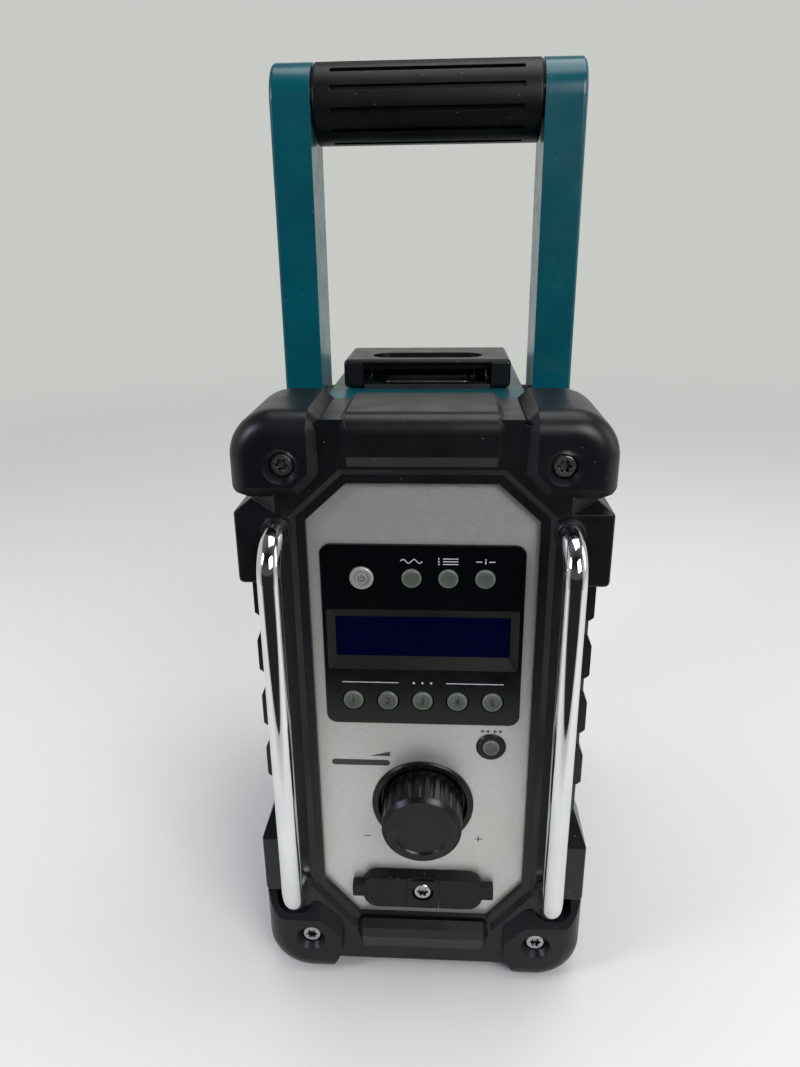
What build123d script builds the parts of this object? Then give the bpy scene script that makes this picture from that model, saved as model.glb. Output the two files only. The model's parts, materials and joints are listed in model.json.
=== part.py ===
"""A cordless jobsite radio: a rugged upright body with corner bumpers, guard bars and a folding handle.

Millimetres. X runs to the right, Y to the rear and Z up. The origin is on the floor, below the middle of the
radio and below the two bolts that the handle turns on.
"""
import os
from math import cos, radians, sin

from build123d import *

# ---- Clearances ----
slip = 0.3                  # between pieces that move past each other
running = 0.05              # radial, between a pin or shaft and its bore
over = 1.0                  # how far a cut or a joined solid runs past a face

# ---- Body ----
wall = 3.0                  # moulded walls
core_cut = 14.0             # corners of the frames, under the bumpers
bottom_clearance = 8.0      # floor to the frames
housing_inset = 0.5         # housing side walls in from the frames' sides
panel_y = -88.0             # face of the silver panel
frame_proud = 5.0           # front frame's face in front of the panel
front_frame_depth = 45.0
housing_depth = 120.0       # between the two frames
rear_frame_depth = 44.0

# ---- Silver panel, and the heights of what stands on it, from the floor up ----
panel_bottom = 36.0         # floor to the panel's lower edge
port_rise = 17.8            # from there to the middle of the port cover
knob_rise = 51.6            # from there to the middle of the knob
bezel_rise = 46.6           # from there to the lower edge of the bezel
bezel_height = 91.5
panel_head = 28.3           # bezel's upper edge to the panel's
brow_height = 31.2          # panel's upper edge to the tops of the front bumpers
panel_width = 101.0
panel_top_cut = 18.3        # width of the panel's upper corner cuts
panel_top_cut_height = 16.8
panel_bottom_cut = 17.5     # width of its lower corner cuts
panel_bottom_cut_height = 21.5
panel_thick = 3.0
panel_ledge = 4.0           # how far the frame reaches behind the panel's edge
lip_width = 4.0
lip_proud = 3.0
lip_slope = 2.5

# ---- Widths, from the panel outwards ----
bar_offset = 12.2           # panel's edge to the middle of a guard bar
bar_margin = 11.8           # from there to the frames' sides
bumper_side = 7.0           # from there to the bumpers' sides
bumper_wall = 6.0           # bumpers' tops above the frames
bumper_proud = 9.0          # front bumpers' face in front of the panel
rear_bumper_proud = 3.0     # rear bumpers' face behind the rear frame

# ---- Deck and the channels for the handle arms ----
channel_width = 26.0
channel_depth = 33.0        # deck to the floors of the channels
deck_seam_y = 17.0          # front edge of the battery cover's part of the deck
deck_skirt = 14.0           # height of that part's sides
deck_opening_y = 28.0       # front edge of the opening for the battery bay, below the deck

# ---- Front frame's beams, side blocks and ribs ----
beam_gap = 8.0              # bumpers' inner sides to the beams' ends
beam_proud = 8.0            # beams' face in front of the panel
beam_end_cut = 2.8          # 45 degree cuts around the beams' ends
beam_round = 8.0
beam_drop = 1.0             # bumpers' tops to the top of the top beam
beam_lip_gap = 1.4          # panel's lip to the top beam
top_beam_slope = 4.8        # height of the slope below the top beam's face
shoulder_drop = 3.5         # bumpers' tops to the shoulders beside the top beam
bottom_beam_slope = 4.0     # height of the slope above the bottom beam's face
bottom_beam_face = 6.0
bottom_beam_set_back = 3.0  # its lower edge behind the frame's face
bottom_beam_drop = 1.0      # and below the frame
corner_slope = 7.0          # depth of the slopes from the bars back to the frame's sides
block_side = 6.5            # side blocks' sides out from the frames' sides
block_depth = 31.0
block_edge = 1.2
block_foot = 2.4            # round corner below a side block
upper_block_below = 25.0    # bar's upper end down to the upper block's lower edge
upper_block_slope = 8.0     # and up to the start of its slope
upper_block_above = 12.5    # and up to its top
lower_block_below = 5.8     # bar's lower end down to the lower block's lower edge
lower_block_slope = 27.1    # and up to the start of its slope
lower_block_above = 45.5    # and up to its top
rib_count = 4
rib_pitch = 29.4
rib_drop = 18.5             # upper block's lower edge down to the first rib's
rib_height = 21.5
rib_depth = 36.0
rib_side = 1.9
rib_slope = 4.8             # height of the slope at a rib's top
rib_heel = 1.6              # and of the one at its foot

# ---- Corner bumpers ----
front_bumper_width = 39.5
top_bumper_height = 37.0
top_bumper_reach = 6.0      # behind the front frame's back
top_bumper_round = 20.0
top_bumper_hip = 7.5        # width of the cut across its lower outer corner
top_bumper_hip_height = 4.8
top_bumper_cut = 5.2        # 45 degree cut around its inner and lower edges
bumper_slant = 9.5          # 45 degree cuts across the bumpers' corners beside the panel
bottom_bumper_height = 51.0
bottom_bumper_short = 2.0   # in front of the front frame's back
bottom_bumper_round = 23.0
bottom_bumper_ease = 8.5    # width of the shallow slope beside its slant
bottom_bumper_ease_height = 2.5
foot_cut = 7.5              # width of the cut across the foot's inner corner
foot_cut_height = 15.5
bumper_edge_round = 10.0
facet_depth = 4.0
slant_facet_width = 6.8
brow_low = 36.0             # floor to the start of the slope above the bottom bumper's face
brow_high = 46.3            # and to where that slope meets the frame's face
bar_room_in = 6.0           # clear room beside the bar's lower end, inwards from its middle
bar_room_out = 13.0         # outwards
bar_room_below = 18.0       # and downwards
bar_room_round = 7.0
bar_room_depth = 14.0
rear_bumper_width = 28.5
rear_bumper_drop = 2.0      # channel floors down to the rear bumpers' tops
rear_bumper_height = 40.0
rear_bumper_depth = 49.0
rear_bumper_round = 12.0
rear_bumper_edge = 6.0

# ---- Bumper screws ----
screw_inset = 23.0          # front bumpers' outer sides in to the screws
top_screw_drop = 22.6       # bumpers' tops down to the upper screws
bottom_screw_z = 24.0
rear_screw_inset = 15.5
screw_head = 10.2
screw_head_height = 4.0
screw_shank = 4.0
screw_length = 20.0
screw_sink = 3.0
screw_mouth = 15.0
screw_edge = 0.8
star_drive = 5.8
star_depth = 2.2

# ---- Guard bars ----
bar_diameter = 10.0
bar_front = 30.0            # front of the bars, in front of the panel
bar_top_drop = 52.0         # bumpers' tops down to the bars' upper ends
bar_bottom_z = 57.5
bar_bend = 15.0
bar_seat = 9.0              # how deep the bars' ends sit in the frame
collar_width = 1.9
collar_height = 2.2
collar_step = 0.8           # width and depth of the step around a collar

# ---- Display bezel and its buttons ----
panel_margin = 5.1          # panel's edge to the bezel
bezel_proud = 1.0
bezel_thick = 7.0
bezel_corner = 5.0
bezel_edge = 0.4
recess_margin = 1.8         # bezel's edge to the recess around the glass
recess_rise = 29.5          # bezel's lower edge to the recess
recess_height = 30.5
recess_corner = 1.5
glass_side = 3.6            # width of the recess's slopes at the sides
glass_sill = 5.5            # and below the glass
glass_head = 4.8            # and above it
glass_corner = 1.0
glass_depth = 3.0
glass_thick = 2.0
button_proud = 0.8
button_gap = 0.35
button_rim = 0.2            # flat ring around the dish in a button's face
button_dish = 0.4
preset_gap = 0.7
button_flange = 1.2         # a button's flange past the edge of its hole
button_flange_thick = 1.0
button_travel = 0.8
function_drop = 16.0        # bezel's upper edge down to the function buttons
power_inset = 18.4          # bezel's left side in to the power button
power_diameter = 10.8
power_groove = 6.8          # outer diameter of the groove in its face
power_groove_width = 0.4
power_groove_depth = 0.6
function_inset = 17.7       # bezel's right side in to the last function button
function_pitch = 16.25
function_diameter = 8.9
preset_rise = 12.8          # bezel's lower edge to the preset buttons
preset_pitch = 16.25
preset_count = 5
preset_diameter = 9.4
scan_inset = 17.8           # panel's right side in to the scan button
scan_drop = 12.3            # bezel's lower edge down to the scan button
scan_diameter = 8.2
scan_ring_width = 2.65
scan_ring_edge = 0.6

# ---- Circuit board ----
board_margin = 1.0          # bezel's edge in to the board's
board_thick = 1.6
switch_side = 6.0
switch_height = 3.5
screen_margin = 1.0         # glass's edge in to the screen's

# ---- Volume knob and its encoder ----
knob_diameter = 40.0
knob_taper = 1.0            # radius lost towards the front
knob_rim_cut = 2.0
knob_land = 3.5             # flat ring around the dish
knob_front = 20.5           # knob's front, in front of the panel
knob_back = 0.5             # knob's back, behind the panel's face
knob_flutes = 24
knob_flute_radius = 1.8
knob_flute_depth = 1.35     # at the knob's back
knob_dish = 0.8
knob_wall = 4.0
surround_slope = 2.5        # width of the dished ring's slope
surround_flange = 2.5       # width of its rim on the panel
surround_edge = 0.8
surround_gap = 0.8          # between the knob and the foot of the slope
surround_lip = 0.5          # top of the slope, in from the panel's hole
surround_proud = 1.6
surround_floor = 2.5        # dish floor behind the panel's face
surround_thick = 2.0
shaft_diameter = 6.0
shaft_collar = 1.0
bush_wall = 2.0
encoder_side = 14.0
encoder_depth = 12.0
encoder_wall = 1.5
plunger_gap = 1.0           # before the plunger, and half of that around it
plunger_thick = 2.0

# ---- Port cover and sockets ----
port_height = 21.2
port_half = 30.3
port_tab = 5.7
port_tab_height = 8.0
port_tab_corner = 1.0
port_thick = 5.2
port_strip = 16.0
port_corner = 7.5
port_brow = 2.1             # height of the slope along the cover's top
port_notch_width = 14.5     # finger notch in the middle of that slope
port_notch_depth = 1.2
port_notch_height = 3.2
port_edge = 0.7
port_seam = 0.15            # between the strip and the flaps
port_screw_head = 9.3
port_screw_height = 2.5
port_screw_edge = 0.6
port_screw_drive = 1.8
port_screw_room = 0.75      # around the screw's head
port_screw_sink = 3.2       # depth of the recess
port_screw_reach = 6.0
jack_x = 19.0
jack_depth = 14.0
aux_bore = 3.6
aux_barrel = 8.0
aux_body = 12.0
dc_bore = 5.6
dc_barrel = 11.0
dc_body = 14.0
dc_pin = 2.1
jack_floor = 2.0
dc_floor = 3.0

# ---- Carrying handle ----
pivot_drop = 12.0           # deck down to the bolts that the handle turns on
arm_gap = 3.8               # deck's sides to the arms
arm_thick = 18.4
arm_length = 141.0          # pivot to the grip's middle
arm_edge = 2.0
grip_diameter = 34.5
grip_gap = 0.8              # between the grip's ends and the arms
grip_edge = 1.0
grip_grooves = 12
grip_groove_width = 2.4
grip_groove_depth = 1.6
grip_land = 8.0             # plain length at each end of the grip
tube_diameter = 16.0
tube_wall = 2.0
tube_seat = 9.0
bolt_diameter = 8.0
bolt_head = 14.0
bolt_head_height = 4.0
bolt_nut = 5.0
spacer_width = 8.0

# ---- Battery cover and bay ----
cover_thick = 12.0
cover_low = 49.0            # floor to the recess for the cover
cover_round = 6.0
cover_rib_pitch = 12.0      # of the grooves down the door
cover_rib_count = 5
cover_rib_width = 3.0
cover_rib_depth = 1.0
cover_rib_margin = 60.0     # ends of the grooves, from the cover's ends
knuckle = 10.0
knuckle_gap = 1.0
hinge_pin = 4.0
bay_front_y = 30.0
bay_gap = 1.3               # bay's sides in from the inside of the cover
bay_step = 2.3              # knuckle up to the bay's underside
bay_wall = 2.0

# ---- Latch on the deck ----
latch_inset = 6.5           # deck's sides in to the latch's
latch_front_y = -11.0
latch_length = 51.0
latch_height = 14.5
latch_gap = 0.5             # between the latch and the deck
latch_pillar = 9.4
latch_corner = 1.5
latch_foot = 2.2            # round corner below the lever's sides
latch_skin = 5.5            # thickness of the lever's top around its dish
latch_brow = 1.6            # and in front of it
latch_brow_depth = 6.0
slot_set_back = 16.0      # latch's front to the middle of the dish on top
slot_length = 56.0
slot_width = 18.0
slot_depth = 3.0
pin_diameter = 4.0
pin_reach = 5.5             # latch pin's ends past the lugs
lug_gap = 4.0               # bail to the lugs
lug_half = 3.2              # half the thickness of the lugs that hold the latch pin
lug_width = 6.0
lug_clearance = 1.6         # above the lugs
bail_diameter = 1.6
bail_width = 42.0
bail_set_back = 2.0         # latch's front to the bail's rod
bail_length = 26.0
bail_rise = 3.0             # bail's rod up to its pivot
bail_bend = 3.0
bail_lift = 1.9             # bail's rod above the lever's underside
bail_seat = 2.5             # how far the bail's ends reach into the lever
keeper_inset = 4.0          # keeper's ends inside the bail's legs
keeper_height = 1.0         # keeper's ridge above the bail's underside
keeper_base = 2.2           # thickness of its plate below the bail
keeper_width = 5.0
keeper_edge = 0.6
keeper_gap = 2.5            # between the bail's rod and the keeper

# ---- Terminals and backup cells ----
terminal_width = 30.0
terminal_height = 34.0
terminal_depth = 8.0
terminal_drop = 6.0         # holder down to the terminal block
blade_thick = 1.0
blade_pitch = 9.0
blade_count = 3
blade_length = 8.0
blade_high = 8.0            # block's top down to the blades
blade_low = 6.0             # and its underside up to them
cell_diameter = 14.5
cell_length = 49.5
cell_nub = 5.5
cell_nub_length = 1.5
cell_gap = 0.3              # around a cell in its holder
cell_pitch = 16.0
cell_rise = 9.0             # holder's underside to the first cell
holder_width = 62.0
holder_depth = 14.0
holder_height = 34.0
holder_drop = 6.0           # bay's rim down to the holder
holder_rim = 1.5
holder_cup = 9.5            # holder's back to the middles of the cells
holder_end = 4.0

# ---- Speakers ----
speaker_y = 6.0
speaker_z = 155.0
speaker_opening = 84.0
grille_margin = 8.0         # grille's rim past the opening
grille_rim = 4.0
grille_thick = 1.5
grille_hole = 4.4
grille_pitch = 7.0
basket_margin = 4.0         # basket's rim past the opening
basket_rim = 2.5
basket_rim_width = 3.0
basket_depth = 20.0
basket_wall = 1.5
magnet_diameter = 42.0
magnet_depth = 14.0
throat_margin = 3.0
cone_wall = 1.0
cone_margin = 3.0
cone_rise = 7.0             # cone's bottom above the basket's
cap_radius = 11.0           # dust cap in the middle of the cone
cap_height = 4.0
cap_shoulder = 6.6          # radius where the cap's side meets its flatter middle
cap_curve = 1.0             # height of that middle
cap_land = 1.5              # height of the cap's edge

# ---- Worked out from the sizes above: depths ----
frame_y = panel_y - frame_proud
bumper_y = panel_y - bumper_proud
beam_y = panel_y - beam_proud
panel_back_y = panel_y + panel_thick
frame_wall_y = panel_back_y + wall
housing_front_y = frame_y + front_frame_depth
housing_back_y = housing_front_y + housing_depth
rear_frame_y = housing_back_y + rear_frame_depth
rear_y = rear_frame_y + rear_bumper_proud
bezel_y = panel_y - bezel_proud
bezel_back_y = bezel_y + bezel_thick
switch_y = bezel_back_y + slip + button_flange_thick + button_travel + slip
board_y = switch_y + switch_height
bar_y = panel_y - bar_front + bar_diameter / 2
encoder_y = panel_y + surround_floor + surround_thick
port_front_y = panel_y - slip - port_thick

# ---- Widths ----
panel_x = panel_width / 2
bar_x = panel_x + bar_offset
side_x = bar_x + bar_margin
outer_x = side_x + bumper_side
housing_x = side_x - housing_inset
bumper_inner = outer_x - front_bumper_width
beam_x = bumper_inner - beam_gap
screw_x = outer_x - screw_inset
rear_screw_x = outer_x - rear_screw_inset
deck_x = housing_x - channel_width
arm_inner = deck_x + arm_gap
arm_outer = arm_inner + arm_thick
bezel_width = panel_width - 2 * panel_margin
bezel_x = bezel_width / 2
power_x = power_inset - bezel_x
last_function_x = bezel_x - function_inset
scan_x = panel_x - scan_inset
recess_width = bezel_width - 2 * recess_margin
glass_width = recess_width - 2 * glass_side

# ---- Heights ----
port_z = panel_bottom + port_rise
knob_z = port_z + knob_rise
bezel_low = knob_z + bezel_rise
bezel_high = bezel_low + bezel_height
panel_top = bezel_high + panel_head
bumper_top = panel_top + brow_height
core_top = bumper_top - bumper_wall
deck_z = core_top
channel_z = deck_z - channel_depth
deck_ledge_z = deck_z - deck_skirt
top_bumper_low = bumper_top - top_bumper_height
top_screw_z = bumper_top - top_screw_drop
rear_bumper_top = channel_z - rear_bumper_drop
rear_screw_z = rear_bumper_top - rear_bumper_height / 2
bar_top_z = bumper_top - bar_top_drop
upper_block_low = bar_top_z - upper_block_below
beam_top = bumper_top - beam_drop
preset_z = bezel_low + preset_rise
function_z = bezel_high - function_drop
scan_z = bezel_low - scan_drop
recess_low = bezel_low + recess_rise
recess_high = recess_low + recess_height
glass_low = recess_low + glass_sill
glass_high = recess_high - glass_head
pivot_z = deck_z - pivot_drop
grip_z = pivot_z + arm_length

# ---- Round the knob ----
knob_front_diameter = knob_diameter - 2 * knob_taper
knob_face_diameter = knob_front_diameter - 2 * knob_rim_cut - 2 * knob_land
surround_hole = knob_diameter + 2 * surround_slope
surround_diameter = surround_hole + 2 * surround_flange
bush_diameter = shaft_diameter + 2 * bush_wall
scan_ring_diameter = scan_diameter + 2 * (button_gap + scan_ring_width)

# ---- Cover, bay and latch ----
cover_back_y = rear_frame_y
cover_front_y = cover_back_y - cover_thick
hinge_y = cover_back_y - knuckle / 2
hinge_z = cover_low + knuckle_gap + knuckle / 2
bay_x = deck_x - wall - bay_gap
bay_floor_z = hinge_z + knuckle / 2 + bay_step
holder_low = deck_ledge_z - holder_drop - holder_height
latch_x = deck_x - latch_inset
latch_back_y = latch_front_y + latch_length
latch_low = deck_z + latch_gap
latch_top = deck_z + latch_height
latch_round = (latch_top - latch_low) / 2
latch_pin_y = latch_back_y - latch_round
latch_pin_z = latch_low + latch_round
latch_ceiling = latch_top - latch_skin
latch_inner = latch_x - latch_pillar
bail_front_y = latch_front_y + bail_set_back
bail_pivot_y = bail_front_y + bail_length
bail_z = latch_low + bail_lift + bail_diameter / 2
bail_pivot_z = bail_z + bail_rise
lug_x = bail_width / 2 + lug_gap


# ---- Small building functions ----
def block(x0, x1, y0, y1, z0, z1):
    """A box between two corners."""
    return Pos((x0 + x1) / 2, (y0 + y1) / 2, (z0 + z1) / 2) * Box(x1 - x0, y1 - y0, z1 - z0)


def middle_block(half_width, y0, y1, z0, z1):
    """A box centred left to right."""
    return block(-half_width, half_width, y0, y1, z0, z1)


def rod_y(x, z, diameter, y0, y1):
    """A round bar that runs front to back."""
    return Pos(x, (y0 + y1) / 2, z) * Rot(90, 0, 0) * Cylinder(diameter / 2, abs(y1 - y0))


def rod_x(y, z, diameter, x0, x1):
    """A round bar that runs left to right."""
    return Pos((x0 + x1) / 2, y, z) * Rot(0, 90, 0) * Cylinder(diameter / 2, abs(x1 - x0))


def plate_y(sketch, y0, y1):
    """A sketch drawn with X across and Z up, given a depth from y0 back to y1."""
    return extrude(Plane.XZ.offset(-y1) * sketch, y1 - y0, dir=(0, -1, 0))


def plate_x(sketch, x0, x1):
    """A sketch drawn with Y across and Z up, given a width from x0 to x1."""
    return extrude(Plane.YZ.offset(x0) * sketch, x1 - x0, dir=(1, 0, 0))


def polygon(*points):
    """A closed outline that keeps its own coordinates, whichever way round its points go."""
    following = points[1:] + points[:1]
    doubled_area = sum(x0 * y1 - x1 * y0 for (x0, y0), (x1, y1) in zip(points, following))
    return Polygon(*(points if doubled_area > 0 else points[::-1]), align=None)


def symmetric(*right_points):
    """A closed outline from its right half's points, listed from the top down."""
    left_points = [(-x, z) for x, z in reversed(right_points)]
    return polygon(*right_points, *left_points)


def other_side(shape):
    """The same piece on the other side of the radio."""
    return mirror(shape, about=Plane.YZ)


def both_sides(shape):
    """A piece and its mirror image, as two solids of one node."""
    return Compound([shape.solid(), other_side(shape).solid()])


def slice_off(shape, point, normal):
    """Cuts away what lies on the outer side of a plane."""
    return split(shape, bisect_by=Plane(origin=point, z_dir=normal), keep=Keep.BOTTOM)


def turned_y(points, x, z):
    """A ring or disc turned about an axis that runs front to back, from points of (radius, y)."""
    profile = Plane.XY * polygon(*points)
    return Pos(x, 0, z) * revolve(profile, Axis.Y)


def turned_x(points, y, z):
    """A ring or disc turned about an axis that runs left to right, from points of (x, radius)."""
    profile = Plane.XZ * polygon(*points)
    return Pos(0, y, z) * revolve(profile, Axis.X)


def front_edges(shape):
    """The edges around a shape's foremost face."""
    return shape.faces().sort_by(Axis.Y)[0].edges()


# ---- Shared outlines ----
def panel_face(grow=0.0):
    """The panel's octagon, grown outwards by a width."""
    face = symmetric(
        (panel_x - panel_top_cut, panel_top),
        (panel_x, panel_top - panel_top_cut_height),
        (panel_x, panel_bottom + panel_bottom_cut_height),
        (panel_x - panel_bottom_cut, panel_bottom),
    )
    return offset(face, grow, kind=Kind.INTERSECTION) if grow else face


def core_face(top, half_width=side_x):
    """A frame's outline where the bumpers sit on it, with its four corners cut."""
    return symmetric(
        (half_width - core_cut, top),
        (half_width, top - core_cut),
        (half_width, bottom_clearance + core_cut),
        (half_width - core_cut, bottom_clearance),
    )


def rounded_box_face(width, low, high, corner):
    """A rectangle with round corners, centred left to right."""
    return Pos(0, (low + high) / 2) * RectangleRounded(width, high - low, corner)


def glass_face():
    """The outline of the display's glass."""
    return rounded_box_face(glass_width, glass_low, glass_high, glass_corner)


def bezel_face():
    """The outline of the display's bezel."""
    return rounded_box_face(bezel_width, bezel_low, bezel_high, bezel_corner)


# ---- Fasteners ----
def star_drive_hole(x, z, y0, y1):
    """A six-lobed drive, cut into a screw's head."""
    lobe = star_drive / 8
    reach = star_drive / 2 - lobe
    star = Circle(reach) + [Pos(reach * cos(radians(turn)), reach * sin(radians(turn))) * Circle(lobe)
                            for turn in range(0, 360, 60)]
    return plate_y(Pos(x, z) * star, min(y0, y1), max(y0, y1))


def bumper_screw(x, z, face_y, rearwards=1):
    """A round-headed screw with a star drive, whose head faces the front, or the rear at -1."""
    head_y = face_y + rearwards * screw_sink
    neck_y = head_y + rearwards * screw_head_height
    tip_y = neck_y + rearwards * screw_length
    head = rod_y(x, z, screw_head, head_y, neck_y)
    outer_rim = head.faces().sort_by(Axis.Y)[0 if rearwards > 0 else -1].edges()
    head = chamfer(outer_rim, screw_edge)
    drive = star_drive_hole(x, z, head_y, head_y + rearwards * star_depth)
    return head + rod_y(x, z, screw_shank, neck_y, tip_y) - drive


def bumper_screws():
    """Eight screws, one to a bumper."""
    right = [
        bumper_screw(screw_x, top_screw_z, bumper_y),
        bumper_screw(screw_x, bottom_screw_z, bumper_y),
        bumper_screw(rear_screw_x, rear_screw_z, rear_y, -1),
        bumper_screw(rear_screw_x, bottom_screw_z, rear_y, -1),
    ]
    return Compound([one.solid() for screw in right for one in (screw, other_side(screw))])


def screw_room(x, z, face_y, rearwards=1):
    """The conical recess and the hole that a bumper screw sits in."""
    head_y = face_y + rearwards * screw_sink
    seat_y = head_y + rearwards * screw_head_height
    tip_y = seat_y + rearwards * screw_length
    mouth = Plane(origin=(x, head_y, z), z_dir=(0, -rearwards, 0)) * Cone(
        screw_head / 2 + slip, screw_mouth / 2, screw_sink, align=(Align.CENTER, Align.CENTER, Align.MIN))
    pocket = rod_y(x, z, screw_head + 2 * slip, head_y, seat_y)
    return mouth + pocket + rod_y(x, z, screw_shank, seat_y, tip_y)


def all_screw_rooms():
    """The recesses and holes of all the bumper screws."""
    right = screw_room(screw_x, top_screw_z, bumper_y) + screw_room(screw_x, bottom_screw_z, bumper_y)
    right += screw_room(rear_screw_x, rear_screw_z, rear_y, -1)
    right += screw_room(rear_screw_x, bottom_screw_z, rear_y, -1)
    return right + other_side(right)


# ---- Guard bars ----
def guard_bar():
    """The right-hand bar: a chromed rod bent back into the frame at both ends."""
    seat_y = frame_y + bar_seat
    path = FilletPolyline(
        (bar_x, seat_y, bar_top_z),
        (bar_x, bar_y, bar_top_z),
        (bar_x, bar_y, bar_bottom_z),
        (bar_x, seat_y, bar_bottom_z),
        radius=bar_bend,
    )
    start = Plane(origin=path @ 0, z_dir=path % 0)
    return sweep(start * Circle(bar_diameter / 2), path=path)


def guard_bar_collars():
    """Four rings around the bars where they enter the frame."""
    inner = bar_diameter / 2
    outer = inner + collar_width
    front_y = frame_y - collar_height
    collars = []
    for z in (bar_top_z, bar_bottom_z):
        ring = turned_y([
            (inner, frame_y),
            (outer, frame_y),
            (outer, front_y + 2 * collar_step),
            (outer - collar_step / 2, front_y + collar_step),
            (outer - collar_step, front_y + collar_step),
            (outer - collar_step, front_y + collar_step / 2),
            (outer - 1.5 * collar_step, front_y),
            (inner, front_y),
        ], bar_x, z)
        collars += [ring.solid(), other_side(ring).solid()]
    return Compound(collars)


# ---- Frames ----
def cut_ends(beam):
    """A beam with a 45 degree cut around both ends, in front and on top."""
    by_place = beam.faces().sort_by(Axis.X)
    edges = [edge for end in (by_place[0], by_place[-1]) for edge in end.edges()
             if edge.center().Y < frame_y + over or edge.center().Z > beam_top - over]
    return chamfer(edges, beam_end_cut)


def top_beam():
    """The thick beam across the top front, with its soft upper edge."""
    low = panel_top + lip_width + lip_slope + beam_lip_gap
    profile = polygon(
        (frame_wall_y, low),
        (frame_y, low),
        (beam_y, low + top_beam_slope),
        (beam_y, beam_top),
        (housing_front_y, beam_top),
        (housing_front_y, core_top - wall),
        (frame_wall_y, core_top - wall),
    )
    beam = plate_x(profile, -beam_x, beam_x)
    front_top = beam.edges().filter_by(Axis.X).group_by(Axis.Y)[0].sort_by(Axis.Z)[-1]
    return cut_ends(fillet(front_top, beam_round))


def bottom_beam():
    """The beam across the bottom front, faceted above and below its face."""
    high = panel_bottom - slip
    face_high = high - bottom_beam_slope
    low = bottom_clearance - bottom_beam_drop
    profile = polygon(
        (frame_wall_y, high),
        (frame_y, high),
        (beam_y, face_high),
        (beam_y, face_high - bottom_beam_face),
        (frame_y + bottom_beam_set_back, low),
        (housing_front_y, low),
        (housing_front_y, bottom_clearance + wall),
        (frame_wall_y, bottom_clearance + wall),
    )
    return cut_ends(plate_x(profile, -beam_x, beam_x))


def side_block(low, slope_start, slope_end):
    """A block on the right-hand side that carries one end of a guard bar, sloped back and in at its top."""
    outer = side_x + block_side
    face = polygon(
        (bar_x, low),
        (outer, low),
        (outer, slope_start),
        (side_x, slope_end),
        (bar_x, slope_end),
    )
    solid = plate_y(face, frame_y, frame_y + block_depth)
    foot = solid.edges().filter_by(Axis.Y).group_by(Axis.X)[-1].sort_by(Axis.Z)[0]
    solid = fillet(foot, block_foot)
    solid = slice_off(solid, (outer, frame_y, slope_start), (0, slope_start - slope_end, corner_slope))
    outer_edges = [edge for edge in solid.edges()
                   if edge.center().X > outer - block_edge / 100 and edge.center().Z > low + block_foot]
    return fillet(outer_edges, block_edge)


def side_ribs():
    """The raised ribs down the right-hand side of the front frame, each sloped at its top and its foot."""
    front_y = frame_y + corner_slope - rib_side
    ribs = Part()
    for index in range(rib_count):
        low = upper_block_low - rib_drop - rib_pitch * index
        high = low + rib_height
        face = polygon(
            (side_x - wall, low),
            (side_x, low),
            (side_x + rib_side, low + rib_heel),
            (side_x + rib_side, high - rib_slope),
            (side_x, high),
            (side_x - wall, high),
        )
        ribs += plate_y(face, front_y, front_y + rib_depth)
    return ribs


def front_frame_filled():
    """The front frame's outer form, which the bumpers and the panel are fitted to."""
    body = plate_y(core_face(core_top), frame_y, housing_front_y)
    for side in (-1, 1):
        body = slice_off(body, (side * bar_x, frame_y, 0), (side * corner_slope, bar_x - side_x, 0))
    shoulder_z = bumper_top - shoulder_drop
    body += middle_block(bumper_inner, frame_y, housing_front_y, core_top - wall, shoulder_z)
    body += top_beam() + bottom_beam()
    right = side_block(upper_block_low, bar_top_z + upper_block_slope, bar_top_z + upper_block_above)
    right += side_block(bar_bottom_z - lower_block_below, bar_bottom_z + lower_block_slope,
                        bar_bottom_z + lower_block_above)
    right += side_ribs()
    return body + right + other_side(right)


def panel_opening():
    """The stepped octagonal opening that the panel lies in."""
    lip_y = panel_y - lip_proud
    slope = loft([
        Plane.XZ.offset(-lip_y) * panel_face(lip_width),
        Plane.XZ.offset(-frame_y) * panel_face(lip_width + lip_slope),
    ])
    pocket = plate_y(panel_face(), frame_y - over, panel_back_y)
    window = plate_y(panel_face(-panel_ledge), panel_back_y - over, frame_wall_y + over)
    return slope + pocket + window


def front_frame(filled):
    """The front frame as a shell."""
    inner = offset(core_face(core_top), -wall, kind=Kind.INTERSECTION)
    frame = filled - plate_y(inner, frame_wall_y, housing_front_y) - panel_opening() - all_screw_rooms()
    for z in (bar_top_z, bar_bottom_z):
        seat = rod_y(bar_x, z, bar_diameter, frame_y - over, frame_y + bar_seat)
        frame -= seat + other_side(seat)
    return frame


def rear_frame_filled():
    """The rear frame's outer form."""
    low = rear_bumper_top - 2 * bumper_wall
    body = plate_y(core_face(rear_bumper_top - bumper_wall), housing_back_y, rear_frame_y)
    return body + middle_block(deck_x, housing_back_y, rear_frame_y, low, deck_ledge_z)


def rear_frame(filled):
    """The rear frame as a shell, with a tunnel for the battery bay and a recess for its cover."""
    tunnel_x = deck_x + slip + wall
    top = rear_bumper_top - bumper_wall
    inner = offset(core_face(top), -wall, kind=Kind.INTERSECTION)
    frame = filled - plate_y(inner, housing_back_y, rear_frame_y - wall)
    frame += middle_block(tunnel_x, housing_back_y, rear_frame_y, cover_low - wall, top)
    frame -= middle_block(bay_x + slip, housing_back_y - over, rear_frame_y, bay_floor_z, deck_z)
    frame -= middle_block(deck_x + slip, cover_front_y - slip, rear_frame_y + over, cover_low, deck_z)
    frame -= rod_x(hinge_y, hinge_z, hinge_pin, -tunnel_x, tunnel_x)
    return frame - all_screw_rooms()


def housing_filled():
    """The housing's outer form, up to the floors of the handle's channels."""
    length = (housing_front_y, housing_back_y)
    body = plate_y(core_face(channel_z, housing_x), *length)
    return body + middle_block(housing_x, *length, channel_z - 2 * core_cut, channel_z)


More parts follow.
